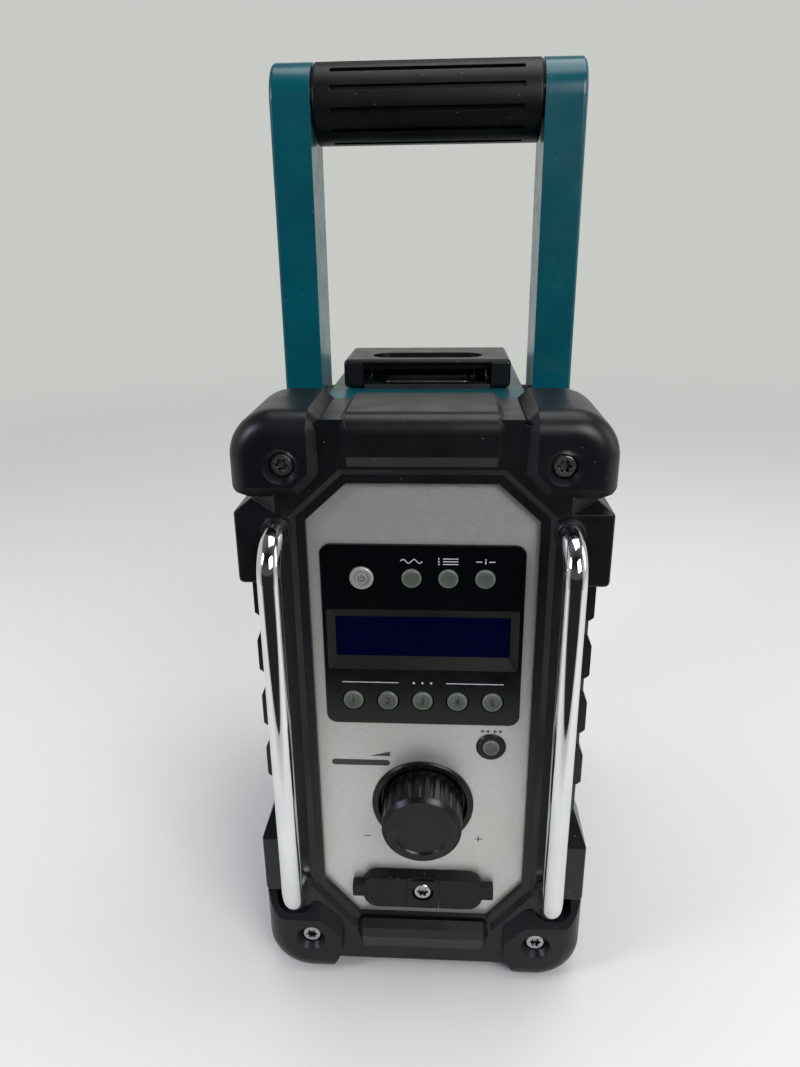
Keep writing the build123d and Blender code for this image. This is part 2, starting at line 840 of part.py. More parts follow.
def main_housing(filled):
    """The coloured middle shell: side walls, floor and the floors of the handle's channels."""
    length = (housing_front_y, housing_back_y)
    inside_x = housing_x - wall
    cavity = middle_block(inside_x, *length, bottom_clearance + core_cut, channel_z - wall)
    cavity += middle_block(housing_x - core_cut, *length, bottom_clearance + wall, channel_z - wall)
    cavity += middle_block(deck_x - wall, deck_opening_y, housing_back_y, channel_z - wall, channel_z)
    for side in (-1, 1):
        cavity += rod_x(speaker_y, speaker_z, speaker_opening, side * (inside_x - over), side * housing_x)
    return filled - cavity


def deck_filled():
    """The outer form of the tower that carries the deck, between the handle's channels."""
    return middle_block(deck_x, housing_front_y, housing_back_y, channel_z, deck_z)


def top_deck(filled):
    """The tower as a shell on the housing, lower at the rear where the battery cover lies over it."""
    inside_x = deck_x - wall
    shell = filled - middle_block(inside_x, housing_front_y, housing_back_y, channel_z, deck_z - wall)
    shell -= middle_block(deck_x + over, deck_seam_y, housing_back_y, deck_ledge_z, deck_z + over)
    for side in (-1, 1):
        shell -= rod_x(0, pivot_z, bolt_diameter, side * (inside_x - over), side * (deck_x + over))
    return shell


# ---- Bumpers ----
def faceted(shape, x, z, inward, width, depth):
    """Slopes the front edge of one side of an outline: inward points from that side into the bumper."""
    ridge = (x + inward[0] * width, bumper_y, z + inward[1] * width)
    return slice_off(shape, ridge, (-inward[0] * depth, -width, -inward[1] * depth))


def top_bumper(inside):
    """The right-hand front bumper at the top, fitted over what is inside it."""
    radius = top_bumper_round
    low = top_bumper_low
    outline = Polyline(
        (outer_x, bumper_top - radius),
        (outer_x, low),
        (bumper_inner, low),
        (bumper_inner, bumper_top),
        (outer_x - radius, bumper_top),
    ) + RadiusArc((outer_x - radius, bumper_top), (outer_x, bumper_top - radius), radius)
    solid = plate_y(make_face(outline), bumper_y, housing_front_y + top_bumper_reach)
    soft = [edge for edge in front_edges(solid)
            if edge.center().X > bumper_inner + over and edge.center().Z > low + over]
    solid = fillet(soft, bumper_edge_round)
    inner_side = solid.faces().sort_by(Axis.X)[0]
    rim = [edge for edge in inner_side.edges()
           if edge.center().Y < bumper_y + bumper_edge_round or edge.center().Z > bumper_top - over]
    solid = chamfer(rim, top_bumper_cut)
    solid = slice_off(solid, (bumper_inner, 0, low + bumper_slant), (-1, 0, -1))
    solid = slice_off(solid, (outer_x - top_bumper_hip, 0, low), (top_bumper_hip_height, 0, -top_bumper_hip))
    diagonal = (cos(radians(45)), sin(radians(45)))
    for z, inward in ((low + bumper_slant, diagonal), (low, (0, 1))):
        solid = faceted(solid, bumper_inner, z, inward, top_bumper_cut, top_bumper_cut)
    return solid - inside - all_screw_rooms()


def bar_room():
    """The room in the right-hand bottom bumper around the bend of the guard bar."""
    low = bar_bottom_z - bar_room_below
    high = bottom_bumper_height + 2 * bar_room_round
    across = bar_room_in + bar_room_out
    middle = (bar_x + (bar_room_out - bar_room_in) / 2, (low + high) / 2)
    return plate_y(Pos(*middle) * RectangleRounded(across, high - low, bar_room_round), bumper_y - over,
                   frame_y + bar_room_depth)


def bottom_bumper(inside):
    """The right-hand front bumper at the bottom, which is also a foot."""
    radius = bottom_bumper_round
    high = bottom_bumper_height
    ease_x = bumper_inner + bumper_slant + bottom_bumper_ease
    slant_high = brow_high - bottom_bumper_ease_height
    outline = Polyline(
        (outer_x - radius, 0),
        (bumper_inner + foot_cut, 0),
        (bumper_inner, foot_cut_height),
        (bumper_inner, slant_high - bumper_slant),
        (bumper_inner + bumper_slant, slant_high),
        (ease_x, brow_high),
        (ease_x, high),
        (outer_x, high),
        (outer_x, radius),
    ) + RadiusArc((outer_x, radius), (outer_x - radius, 0), radius)
    solid = plate_y(make_face(outline), bumper_y, housing_front_y - bottom_bumper_short)
    soft = [edge for edge in front_edges(solid) if edge.center().X > screw_x and edge.center().Z < brow_high]
    solid = fillet(soft, bumper_edge_round)
    diagonal = (cos(radians(45)), -sin(radians(45)))
    solid = faceted(solid, bumper_inner, slant_high - bumper_slant, diagonal, slant_facet_width, facet_depth)
    solid = slice_off(solid, (0, frame_y, brow_high), (0, brow_low - brow_high, frame_y - bumper_y))
    return solid - bar_room() - inside - all_screw_rooms()


def rear_bumper(inside, low, high, foot):
    """A right-hand bumper at the rear; a foot is rounded at the bottom and a shoulder at the top."""
    solid = block(outer_x - rear_bumper_width, outer_x, rear_y - rear_bumper_depth, rear_y, low, high)
    long_edges = solid.edges().filter_by(Axis.Y).group_by(Axis.X)[-1].sort_by(Axis.Z)
    solid = fillet(long_edges[0 if foot else -1], bottom_bumper_round if foot else rear_bumper_round)
    rear = solid.faces().sort_by(Axis.Y)[-1]
    soft = [edge for edge in rear.edges() if edge.center().X > outer_x - rear_bumper_round / 2 - over]
    solid = fillet(soft, rear_bumper_edge)
    return solid - inside - all_screw_rooms()


# ---- Front panel, display and buttons ----
def front_panel():
    """The silver panel with its openings."""
    front_y = panel_y - over
    back_y = panel_back_y + over
    panel = plate_y(panel_face(), panel_y, panel_back_y) - plate_y(bezel_face(), front_y, back_y)
    panel -= rod_y(0, knob_z, surround_hole, front_y, back_y)
    panel -= rod_y(scan_x, scan_z, scan_ring_diameter, front_y, back_y)
    panel -= rod_y(-jack_x, port_z, aux_barrel, front_y, back_y)
    panel -= rod_y(jack_x, port_z, dc_barrel, front_y, back_y)
    return panel - rod_y(0, port_z, screw_shank, front_y, back_y)


def function_xs():
    """The places of the three function buttons, left to right."""
    return [last_function_x - function_pitch * index for index in (2, 1, 0)]


def preset_xs():
    """The places of the preset buttons, left to right."""
    return [preset_pitch * (index - (preset_count - 1) / 2) for index in range(preset_count)]


def display_bezel():
    """The gloss bezel with the sloped recess around the glass and a hole for each button."""
    front_y = bezel_y - over
    back_y = bezel_back_y + over
    glass_y = bezel_y + glass_depth
    slope = loft([
        Plane.XZ.offset(-bezel_y) * rounded_box_face(recess_width, recess_low, recess_high, recess_corner),
        Plane.XZ.offset(-glass_y) * glass_face(),
    ])
    bezel = plate_y(bezel_face(), bezel_y, bezel_back_y)
    bezel = chamfer(front_edges(bezel), bezel_edge) - slope
    bezel -= plate_y(glass_face(), glass_y - slip, back_y)
    bezel -= rod_y(power_x, function_z, power_diameter + 2 * button_gap, front_y, back_y)
    for x in function_xs():
        bezel -= rod_y(x, function_z, function_diameter + 2 * button_gap, front_y, back_y)
    for x in preset_xs():
        bezel -= rod_y(x, preset_z, preset_diameter + 2 * preset_gap, front_y, back_y)
    return bezel


def lcd_window():
    """The display's glass, at the bottom of the recess."""
    front_y = bezel_y + glass_depth
    return plate_y(glass_face(), front_y, front_y + glass_thick)


def lcd_module():
    """The display itself, behind the glass, on its own carrier."""
    front_y = bezel_y + glass_depth + glass_thick
    screen = middle_block(glass_width / 2 - screen_margin, front_y, bezel_back_y, glass_low + screen_margin,
                          glass_high - screen_margin)
    return screen + middle_block(recess_width / 2, bezel_back_y, board_y, recess_low, recess_high)


def button(x, z, diameter, gap):
    """A round button with a shallow dish in its face and a flange behind its hole."""
    face_y = bezel_y - button_proud
    flange_y = bezel_back_y + slip
    cap = rod_y(x, z, diameter, face_y, flange_y)
    cap = fillet(front_edges(cap), button_proud)
    dish_reach = diameter / 2 - button_proud - button_rim
    dish_radius = (dish_reach ** 2 + button_dish ** 2) / (2 * button_dish)
    cap -= Pos(x, face_y + button_dish - dish_radius, z) * Sphere(dish_radius)
    return cap + rod_y(x, z, diameter + 2 * (gap + button_flange), flange_y, flange_y + button_flange_thick)


def power_button():
    """The power button, with a groove around the middle of its face."""
    front_y = bezel_y - button_proud
    floor_y = front_y + power_groove_depth
    middle = power_groove - 2 * power_groove_width
    groove = rod_y(power_x, function_z, power_groove, front_y - over, floor_y)
    groove -= rod_y(power_x, function_z, middle, front_y - 2 * over, floor_y + over)
    return button(power_x, function_z, power_diameter, button_gap) - groove


def scan_button_ring():
    """The black ring that the scan button sits in."""
    ring = rod_y(scan_x, scan_z, scan_ring_diameter, bezel_y, bezel_back_y)
    ring = chamfer(front_edges(ring), scan_ring_edge)
    return ring - rod_y(scan_x, scan_z, scan_diameter + 2 * button_gap, bezel_y - over, bezel_back_y + over)


def main_board():
    """The circuit board behind the panel, with a switch behind each button."""
    low = scan_z - scan_ring_diameter
    board = middle_block(bezel_width / 2 - board_margin, board_y, board_y + board_thick, low, bezel_high)
    places = [(power_x, function_z), (scan_x, scan_z)]
    places += [(x, function_z) for x in function_xs()] + [(x, preset_z) for x in preset_xs()]
    half = switch_side / 2
    for x, z in places:
        board += block(x - half, x + half, switch_y, board_y, z - half, z + half)
    return board


# ---- Volume knob ----
def volume_knob():
    """A fluted knob with a chamfered rim, a shallow dish in its face and a hub on the shaft."""
    back_y = panel_y + knob_back
    front_y = panel_y - knob_front
    rim_y = front_y + knob_rim_cut
    back_radius = knob_diameter / 2
    front_radius = knob_front_diameter / 2
    knob = turned_y([
        (0, back_y),
        (back_radius, back_y),
        (front_radius, rim_y),
        (front_radius - knob_rim_cut, front_y),
        (knob_face_diameter / 2, front_y),
        (knob_face_diameter / 2 - knob_dish, front_y + knob_dish),
        (0, front_y + knob_dish),
    ], 0, knob_z)
    reach = back_radius + knob_flute_radius - knob_flute_depth
    for index in range(knob_flutes):
        angle = radians(360 / knob_flutes * index)
        knob -= rod_y(reach * cos(angle), knob_z + reach * sin(angle), 2 * knob_flute_radius, rim_y,
                      back_y - knob_rim_cut)
    hollow = rod_y(0, knob_z, knob_front_diameter - 2 * knob_wall, rim_y + knob_wall, back_y)
    hub = rod_y(0, knob_z, bush_diameter, rim_y, back_y)
    return knob - (hollow - hub) - rod_y(0, knob_z, shaft_diameter, front_y + knob_wall, back_y)


def knob_surround():
    """The dished ring that the knob stands in."""
    rim = surround_diameter / 2
    hole = surround_hole / 2
    bush = bush_diameter / 2
    front_y = panel_y - surround_proud
    floor_y = panel_y + surround_floor
    return turned_y([
        (bush, floor_y),
        (knob_diameter / 2 + surround_gap, floor_y),
        (hole - surround_lip, front_y),
        (rim - surround_edge, front_y),
        (rim, front_y + surround_edge),
        (rim, panel_y),
        (hole, panel_y),
        (hole, encoder_y),
        (bush, encoder_y),
    ], 0, knob_z)


def rotary_encoder():
    """The encoder's case, with a threaded bush through the dish and a chamber for its plunger."""
    back_y = encoder_y + encoder_depth
    half = encoder_side / 2
    room = half - encoder_wall
    case = block(-half, half, encoder_y, back_y, knob_z - half, knob_z + half)
    case -= block(-room, room, encoder_y + encoder_wall, back_y - encoder_wall, knob_z - room, knob_z + room)
    case += rod_y(0, knob_z, bush_diameter, encoder_y - surround_thick, encoder_y)
    bore = shaft_diameter + 2 * running
    return case - rod_y(0, knob_z, bore, encoder_y - surround_thick - over, encoder_y + encoder_wall)


def encoder_plunger():
    """The disc inside the encoder that is pushed back with the knob."""
    front_y = encoder_y + encoder_wall + plunger_gap
    back_y = front_y + plunger_thick
    disc = rod_y(0, knob_z, encoder_side - 2 * encoder_wall - plunger_gap, front_y, back_y)
    return disc - rod_y(0, knob_z, shaft_diameter + 2 * running, front_y - over, back_y + over)


def encoder_shaft():
    """The shaft that carries the knob and turns in the bush and the plunger."""
    collar_y = encoder_y + encoder_wall + plunger_gap + plunger_thick + slip
    end_y = collar_y + shaft_collar
    shaft = rod_y(0, knob_z, shaft_diameter, panel_y - knob_front + knob_wall, end_y)
    return shaft + rod_y(0, knob_z, shaft_diameter + 2 * shaft_collar, collar_y, end_y)


# ---- Port cover and sockets ----
def port_face():
    """The whole cover's outline: a long pad with round corners and a tab at each end."""
    face = RectangleRounded(2 * port_half, port_height, port_corner)
    face += RectangleRounded(2 * (port_half + port_tab), port_tab_height, port_tab_corner)
    return Pos(0, port_z) * face


def port_body():
    """The whole cover, sloped along its top, before it is divided into its strip and two flaps."""
    body = plate_y(port_face(), port_front_y, panel_y - slip)
    body = chamfer(body.faces().sort_by(Axis.Y)[0].outer_wire().edges(), port_edge)
    slope_low = port_z + port_height / 2 - port_brow
    return slice_off(body, (0, port_front_y, slope_low), (0, -port_brow, port_thick))


def port_cover():
    """The fixed strip in the middle, held by one screw, with a finger notch at its top."""
    half = port_strip / 2
    front_y = port_front_y - over
    strip = port_body() & middle_block(half, front_y, panel_y - slip, 0, 2 * port_z)
    strip += middle_block(half - over, panel_y - slip, panel_y, port_z - half, port_z + half)
    notch_radius = (port_notch_width ** 2 / 4 + port_notch_depth ** 2) / (2 * port_notch_depth)
    notch_y = port_front_y + port_notch_depth - notch_radius
    strip -= Pos(0, notch_y, port_z + port_height / 2) * Cylinder(notch_radius, 2 * port_notch_height)
    recess = port_screw_head + 2 * port_screw_room
    strip -= rod_y(0, port_z, recess, front_y, port_front_y + port_screw_sink)
    return strip - rod_y(0, port_z, screw_shank, front_y, panel_y + over)


def port_flap():
    """The right-hand flap, which swings forwards about its inner end."""
    start = port_strip / 2 + port_seam
    end = port_half + port_tab + over
    keep = block(start, end, port_front_y - over, panel_y - slip, 0, 2 * port_z)
    return (port_body() & keep).solid()


def port_cover_screw():
    """The screw in the middle of the port cover."""
    seat_y = port_front_y + port_screw_sink
    head_y = seat_y - port_screw_height
    head = rod_y(0, port_z, port_screw_head, head_y, seat_y)
    head = chamfer(front_edges(head), port_screw_edge)
    shank = rod_y(0, port_z, screw_shank, seat_y, panel_back_y + port_screw_reach)
    return head + shank - star_drive_hole(0, port_z, head_y, head_y + port_screw_drive)


def jack(x, barrel, body):
    """A socket's barrel through the panel and its square body behind it."""
    half = body / 2
    case = block(x - half, x + half, panel_back_y + over, panel_y + jack_depth, port_z - half, port_z + half)
    return case + rod_y(x, port_z, barrel, panel_y, panel_y + jack_depth)


def aux_jack():
    """A small round audio socket."""
    bore = rod_y(-jack_x, port_z, aux_bore, panel_y - over, panel_y + jack_depth - jack_floor)
    return jack(-jack_x, aux_barrel, aux_body) - bore


def dc_jack():
    """The power socket, with its centre pin."""
    floor_y = panel_y + jack_depth - dc_floor
    socket = jack(jack_x, dc_barrel, dc_body) - rod_y(jack_x, port_z, dc_bore, panel_y - over, floor_y)
    return socket + rod_y(jack_x, port_z, dc_pin, panel_y + jack_floor, floor_y + over)


# ---- Handle ----
def handle_arm():
    """The right-hand arm, round at both ends, with its bolt hole and the grip tube's seat."""
    face = Pos(0, (pivot_z + grip_z) / 2) * Rot(0, 0, 90) * SlotCenterToCenter(arm_length, grip_diameter)
    arm = plate_x(face, arm_inner, arm_outer)
    rims = [edge for edge in arm.edges() if edge.center().X > arm_outer - arm_edge / 100]
    arm = fillet(rims, arm_edge)
    arm -= rod_x(0, pivot_z, bolt_diameter + 2 * running, arm_inner - over, arm_outer + over)
    arm -= rod_x(0, pivot_z, bolt_head + 2 * slip, arm_outer - bolt_head_height - slip, arm_outer + over)
    return arm - rod_x(0, grip_z, tube_diameter, arm_inner - over, arm_inner + tube_seat)


def handle_grip():
    """The rubber grip, grooved along its length."""
    half = arm_inner - grip_gap
    grip = rod_x(0, grip_z, grip_diameter, -half, half)
    grip = fillet(grip.edges().filter_by(GeomType.CIRCLE), grip_edge)
    groove_length = 2 * (half - grip_land)
    groove = Pos(0, 0, grip_diameter / 2) * Box(groove_length, grip_groove_width, 2 * grip_groove_depth)
    for index in range(grip_grooves):
        turn = 360 / grip_grooves * (index + 0.5)
        grip -= Pos(0, 0, grip_z) * Rot(turn, 0, 0) * groove
    return grip - rod_x(0, grip_z, tube_diameter, -half - over, half + over)


def handle_core_tube():
    """The steel tube through the grip into both arms."""
    half = arm_inner + tube_seat
    bore = rod_x(0, grip_z, tube_diameter - 2 * tube_wall, -half - over, half + over)
    return rod_x(0, grip_z, tube_diameter, -half, half) - bore


def handle_bolt():
    """The right-hand shoulder bolt, with its nut inside the deck tower."""
    inner_x = deck_x - wall
    head_x = arm_outer - bolt_head_height
    bolt = rod_x(0, pivot_z, bolt_diameter, inner_x - over, head_x)
    bolt += rod_x(0, pivot_z, bolt_head, head_x, arm_outer)
    return bolt + rod_x(0, pivot_z, bolt_head, inner_x - bolt_nut, inner_x)


def handle_spacer():
    """The right-hand washer between the deck tower and the arm."""
    washer = rod_x(0, pivot_z, bolt_diameter + 2 * spacer_width, deck_x, arm_inner - slip)
    return washer - rod_x(0, pivot_z, bolt_diameter, deck_x - over, arm_inner)


# ---- Battery cover, bay and latch ----
def battery_cover():
    """The L-shaped cover: the rear door and the rear part of the deck in one shell, hinged at the bottom."""
    front_y = deck_seam_y + slip
    low_z = deck_ledge_z + slip
    inside_x = deck_x - wall
    cover = middle_block(deck_x, front_y, cover_back_y, low_z, deck_z)
    cover += middle_block(deck_x, cover_front_y, cover_back_y, hinge_z, deck_z)
    soft = cover.edges().filter_by(Axis.X).sort_by(Axis.Z)[-2:].sort_by(Axis.Y)[-1]
    cover = fillet(soft, cover_round)
    cover += rod_x(hinge_y, hinge_z, knuckle, -deck_x, deck_x)
    door_inside_y = cover_back_y - wall
    cover -= middle_block(inside_x, front_y + wall, door_inside_y - wall, low_z - over, deck_z - wall)
    cover -= middle_block(inside_x, cover_front_y - over, door_inside_y, hinge_z + knuckle, low_z + over)
    half = cover_rib_width / 2
    groove = (cover_back_y - cover_rib_depth, cover_back_y + over, hinge_z + cover_rib_margin,
              deck_z - cover_rib_margin)
    for index in range(cover_rib_count):
        x = cover_rib_pitch * (index - (cover_rib_count - 1) / 2)
        cover -= block(x - half, x + half, *groove)
    cover += latch_lugs()
    return cover - rod_x(hinge_y, hinge_z, hinge_pin + 2 * running, -deck_x - over, deck_x + over)


def latch_lugs():
    """Two lugs on the deck part of the cover that hold the latch pin."""
    end_x = lug_x + lug_width
    lugs = block(lug_x, end_x, latch_pin_y - lug_half, latch_pin_y + lug_half, deck_z - over, latch_pin_z)
    lugs += rod_x(latch_pin_y, latch_pin_z, 2 * lug_half, lug_x, end_x)
    lugs -= rod_x(latch_pin_y, latch_pin_z, pin_diameter, lug_x - over, end_x + over)
    return lugs + other_side(lugs)


def cover_hinge_pin():
    """The pin that the battery cover turns on."""
    half = deck_x + slip + wall
    return rod_x(hinge_y, hinge_z, hinge_pin, -half, half)


def latch_lever():
    """The long lever on the deck: open below and in front, round at the rear, with an oval dish on top."""
    shell = middle_block(latch_x, latch_front_y, latch_back_y, latch_low, latch_top)
    front_corners = shell.edges().filter_by(Axis.Z).group_by(Axis.Y)[0]
    shell = fillet(front_corners, latch_corner)
    rear_edges = shell.edges().filter_by(Axis.X).group_by(Axis.Y)[-1]
    shell = fillet(rear_edges, latch_round - running)
    feet = shell.edges().filter_by(Axis.Y).group_by(Axis.Z)[0]
    shell = fillet(feet, latch_foot)
    room_back_y = latch_pin_y - latch_round
    shell -= middle_block(latch_inner, latch_front_y - over, room_back_y, latch_low - over, latch_ceiling)
    shell -= middle_block(latch_inner, latch_front_y - over, latch_front_y + latch_brow_depth, latch_low,
                          latch_top - latch_brow)
    dish = Pos(0, latch_front_y + slot_set_back, latch_top) * SlotOverall(slot_length, slot_width)
    shell -= extrude(dish, -slot_depth)
    lug_room = block(lug_x - slip, lug_x + lug_width + slip, room_back_y, latch_back_y + over,
                     latch_low - over, latch_pin_z + lug_half + lug_clearance)
    shell -= lug_room + other_side(lug_room)
    bail_reach = latch_inner + bail_seat + slip
    shell -= rod_x(bail_pivot_y, bail_pivot_z, bail_diameter + 2 * running, -bail_reach, bail_reach)
    half_pin = lug_x + lug_width + pin_reach + slip
    return shell - rod_x(latch_pin_y, latch_pin_z, pin_diameter + 2 * running, -half_pin, half_pin)


def latch_pin():
    """The pin that the latch lever turns on."""
    half = lug_x + lug_width + pin_reach
    return rod_x(latch_pin_y, latch_pin_z, pin_diameter, -half, half)


def latch_bail():
    """The wire bail at the front of the latch, which hooks over the keeper."""
    half = bail_width / 2
    path = FilletPolyline(
        (-half, bail_pivot_y, bail_pivot_z),
        (-half, bail_front_y, bail_z),
        (half, bail_front_y, bail_z),
        (half, bail_pivot_y, bail_pivot_z),
        radius=bail_bend,
    )
    wire = sweep(Plane(origin=path @ 0, z_dir=path % 0) * Circle(bail_diameter / 2), path=path)
    for side in (-1, 1):
        inner_end = side * (half - bail_diameter / 2)
        wire += rod_x(bail_pivot_y, bail_pivot_z, bail_diameter, inner_end, side * (latch_inner + bail_seat))
    return wire


def latch_keeper():
    """The plate below the bail's rod, with the low ridge that the bail holds."""
    ridge_y = bail_front_y + bail_diameter / 2 + keeper_gap
    half = bail_width / 2 - keeper_inset
    bail_low = bail_z - bail_diameter / 2
    ridge = middle_block(half, ridge_y, ridge_y + keeper_width, deck_z, bail_low + keeper_height)
    ridge = chamfer(ridge.edges().filter_by(Axis.X).group_by(Axis.Z)[-1], keeper_edge)
    plate_half = latch_inner - 2 * slip
    plate_y0 = latch_front_y + 2 * slip
    return ridge + middle_block(plate_half, plate_y0, ridge_y + keeper_width, deck_z, deck_z + keeper_base)


def battery_bay():
    """The tray that the battery pack slides into, open to the rear and the top."""
    tray = middle_block(bay_x, bay_front_y, cover_front_y - slip, bay_floor_z, deck_ledge_z)
    return tray - middle_block(bay_x - bay_wall, bay_front_y + bay_wall, cover_front_y,
                               bay_floor_z + bay_wall, deck_ledge_z + over)


def terminal_block():
    """The block on the bay's front wall, with the blades that a battery pack plugs onto."""
    front_y = bay_front_y + bay_wall
    back_y = front_y + terminal_depth
    high = holder_low - terminal_drop
    low = high - terminal_height
    body = middle_block(terminal_width / 2, front_y, back_y, low, high)
    for index in range(blade_count):
        x = blade_pitch * (index - (blade_count - 1) / 2)
        body += block(x - blade_thick / 2, x + blade_thick / 2, back_y - over, back_y + blade_length,
                      low + blade_low, high - blade_high)
    return body


def cell_places():
    """The (y, z) places of the backup cells' middles."""
    y = bay_front_y + bay_wall + holder_cup
    return [(y, holder_low + cell_rise), (y, holder_low + cell_rise + cell_pitch)]


def backup_battery_holder():
    """The open holder for two small backup cells."""
    front_y = bay_front_y + bay_wall
    back_y = front_y + holder_depth
    high = holder_low + holder_height
    inside_x = holder_width / 2 - holder_end
    holder = middle_block(holder_width / 2, front_y, back_y, holder_low, high)
    for y, z in cell_places():
        holder -= rod_x(y, z, cell_diameter + 2 * cell_gap, -inside_x, inside_x)
    return holder - middle_block(inside_x, front_y + holder_cup, back_y + over, holder_low + holder_rim,
                                 high - holder_rim)


def backup_batteries():
    """Two small cells, each with a raised end."""
    left = -(cell_length + cell_nub_length) / 2
    right = left + cell_length
    cells = []
    for y, z in cell_places():
        nub = rod_x(y, z, cell_nub, right - over, right + cell_nub_length)
        cells.append((rod_x(y, z, cell_diameter, left, right) + nub).solid())
    return Compound(cells)


# ---- Speakers ----
def speaker():
    """The right-hand speaker's basket and magnet."""
    front_x = housing_x - wall
    rim = speaker_opening / 2 + basket_margin
    throat = magnet_diameter / 2 - throat_margin
    waist_x = front_x - basket_depth
    inner_rim = rim - basket_rim_width - basket_wall
    return turned_x([
        (front_x, rim),
        (front_x - basket_rim, rim),
        (front_x - basket_rim, rim - basket_rim_width),
        (waist_x, throat + basket_wall),
        (waist_x, magnet_diameter / 2),
        (waist_x - magnet_depth, magnet_diameter / 2),
        (waist_x - magnet_depth, 0),
        (waist_x + basket_wall, 0),
        (waist_x + basket_wall, throat),
        (front_x - basket_rim / 2, inner_rim),
        (front_x, inner_rim),
    ], speaker_y, speaker_z)


def speaker_cone():
    """The right-hand speaker's cone, with its dust cap."""
    rim_x = housing_x - wall - cone_wall
    rim = speaker_opening / 2 - cone_margin
    low_x = housing_x - wall - basket_depth + cone_rise
    return turned_x([
        (rim_x, rim),
        (rim_x - cone_wall, rim),
        (low_x, cap_radius),
        (low_x, 0),
        (low_x + cap_height, 0),
        (low_x + cap_height - cap_curve, cap_shoulder),
        (low_x + cap_land, cap_radius),
    ], speaker_y, speaker_z)


def speaker_grille():
    """The right-hand grille: a round steel plate with staggered holes and a rolled rim."""
    diameter = speaker_opening + 2 * grille_margin
    disc = Circle(diameter / 2)
    reach = int(diameter / grille_pitch)
    row_pitch = grille_pitch * sin(radians(60))
    places = []
    for row in range(-reach, reach + 1):
        for column in range(-reach, reach + 1):
            across = grille_pitch * (column + 0.5 * (row % 2))
            up = row_pitch * row
            if across ** 2 + up ** 2 < (speaker_opening / 2 - grille_hole) ** 2:
                places.append(Location((across, up)))
    disc -= [place * Circle(grille_hole / 2) for place in places]
    plate = plate_x(Pos(speaker_y, speaker_z) * disc, housing_x, housing_x + grille_thick)
    rim_x = housing_x + 2 * grille_thick
    rim = rod_x(speaker_y, speaker_z, diameter, housing_x, rim_x)
    rim -= rod_x(speaker_y, speaker_z, diameter - 2 * grille_rim, housing_x - over, rim_x + over)
    return plate + rim


# ---- The whole radio ----
def build_parts():
    """Every sub-part by its name."""
    front = front_frame_filled()
    rear = rear_frame_filled()
    housing = housing_filled()
    deck = deck_filled()
    parts = {
        "main_housing": main_housing(housing),
        "top_deck": top_deck(deck),
        "front_frame": front_frame(front),
        "rear_frame": rear_frame(rear),
        "front_panel": front_panel(),
        "display_bezel": display_bezel(),
        "lcd_window": lcd_window(),
        "lcd_module": lcd_module(),
        "main_board": main_board(),
        "power_button": power_button(),
        "scan_button": button(scan_x, scan_z, scan_diameter, button_gap),
        "scan_button_ring": scan_button_ring(),
        "volume_knob": volume_knob(),
        "knob_surround": knob_surround(),
        "rotary_encoder": rotary_encoder(),
        "encoder_plunger": encoder_plunger(),
        "encoder_shaft": encoder_shaft(),
        "port_cover": port_cover(),
        "port_cover_screw": port_cover_screw(),
        "port_flap_right": port_flap(),
        "port_flap_left": other_side(port_flap()),
        "aux_jack": aux_jack(),
        "dc_jack": dc_jack(),
        "bumper_screws": bumper_screws(),
        "guard_bar_right": guard_bar(),
        "guard_bar_left": other_side(guard_bar()),
        "guard_bar_collars": guard_bar_collars(),
        "handle_arm_right": handle_arm(),
        "handle_arm_left": other_side(handle_arm()),
        "handle_grip": handle_grip(),
        "handle_core_tube": handle_core_tube(),
        "handle_bolts": both_sides(handle_bolt()),
        "handle_washers": both_sides(handle_spacer()),
        "battery_cover": battery_cover(),
        "cover_hinge_pin": cover_hinge_pin(),
        "latch_lever": latch_lever(),
        "latch_pin": latch_pin(),
        "latch_bail": latch_bail(),
        "latch_keeper": latch_keeper(),
        "battery_bay": battery_bay(),
        "terminal_block": terminal_block(),
        "backup_battery_holder": backup_battery_holder(),
        "backup_batteries": backup_batteries(),
        "speakers": both_sides(speaker()),
        "speaker_cones": both_sides(speaker_cone()),
        "speaker_grilles": both_sides(speaker_grille()),
    }
    for name, x in zip(("band_button", "menu_button", "info_button"), function_xs()):
        parts[name] = button(x, function_z, function_diameter, button_gap)
    for index, x in enumerate(preset_xs(), start=1):
        parts[f"preset_button_{index}"] = button(x, preset_z, preset_diameter, preset_gap)
    front_bumpers = {
        "front_bumper_top": top_bumper(front + housing + deck),
        "front_bumper_bottom": bottom_bumper(front + housing),
    }
    for name, bumper in front_bumpers.items():
        parts[f"{name}_right"] = bumper
        parts[f"{name}_left"] = other_side(bumper)
    parts["rear_bumpers_top"] = both_sides(
        rear_bumper(rear + housing, rear_bumper_top - rear_bumper_height, rear_bumper_top, False))
    parts["rear_bumpers_bottom"] = both_sides(rear_bumper(rear + housing, 0, bottom_bumper_height, True))
    return parts


os.makedirs("parts", exist_ok=True)
for node, shape in build_parts().items():
    export_step(shape, f"parts/{node}.step")
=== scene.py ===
"""Dresses the jobsite radio: the finish of every piece, its printed marks, a pale studio and its lamps.

Metres, in the model's own frame: X to the right, Y to the rear, Z up, with the floor at 0.
"""
import json
from math import cos, pi, radians, sin

import bmesh
import bpy
from mathutils import Matrix, Vector


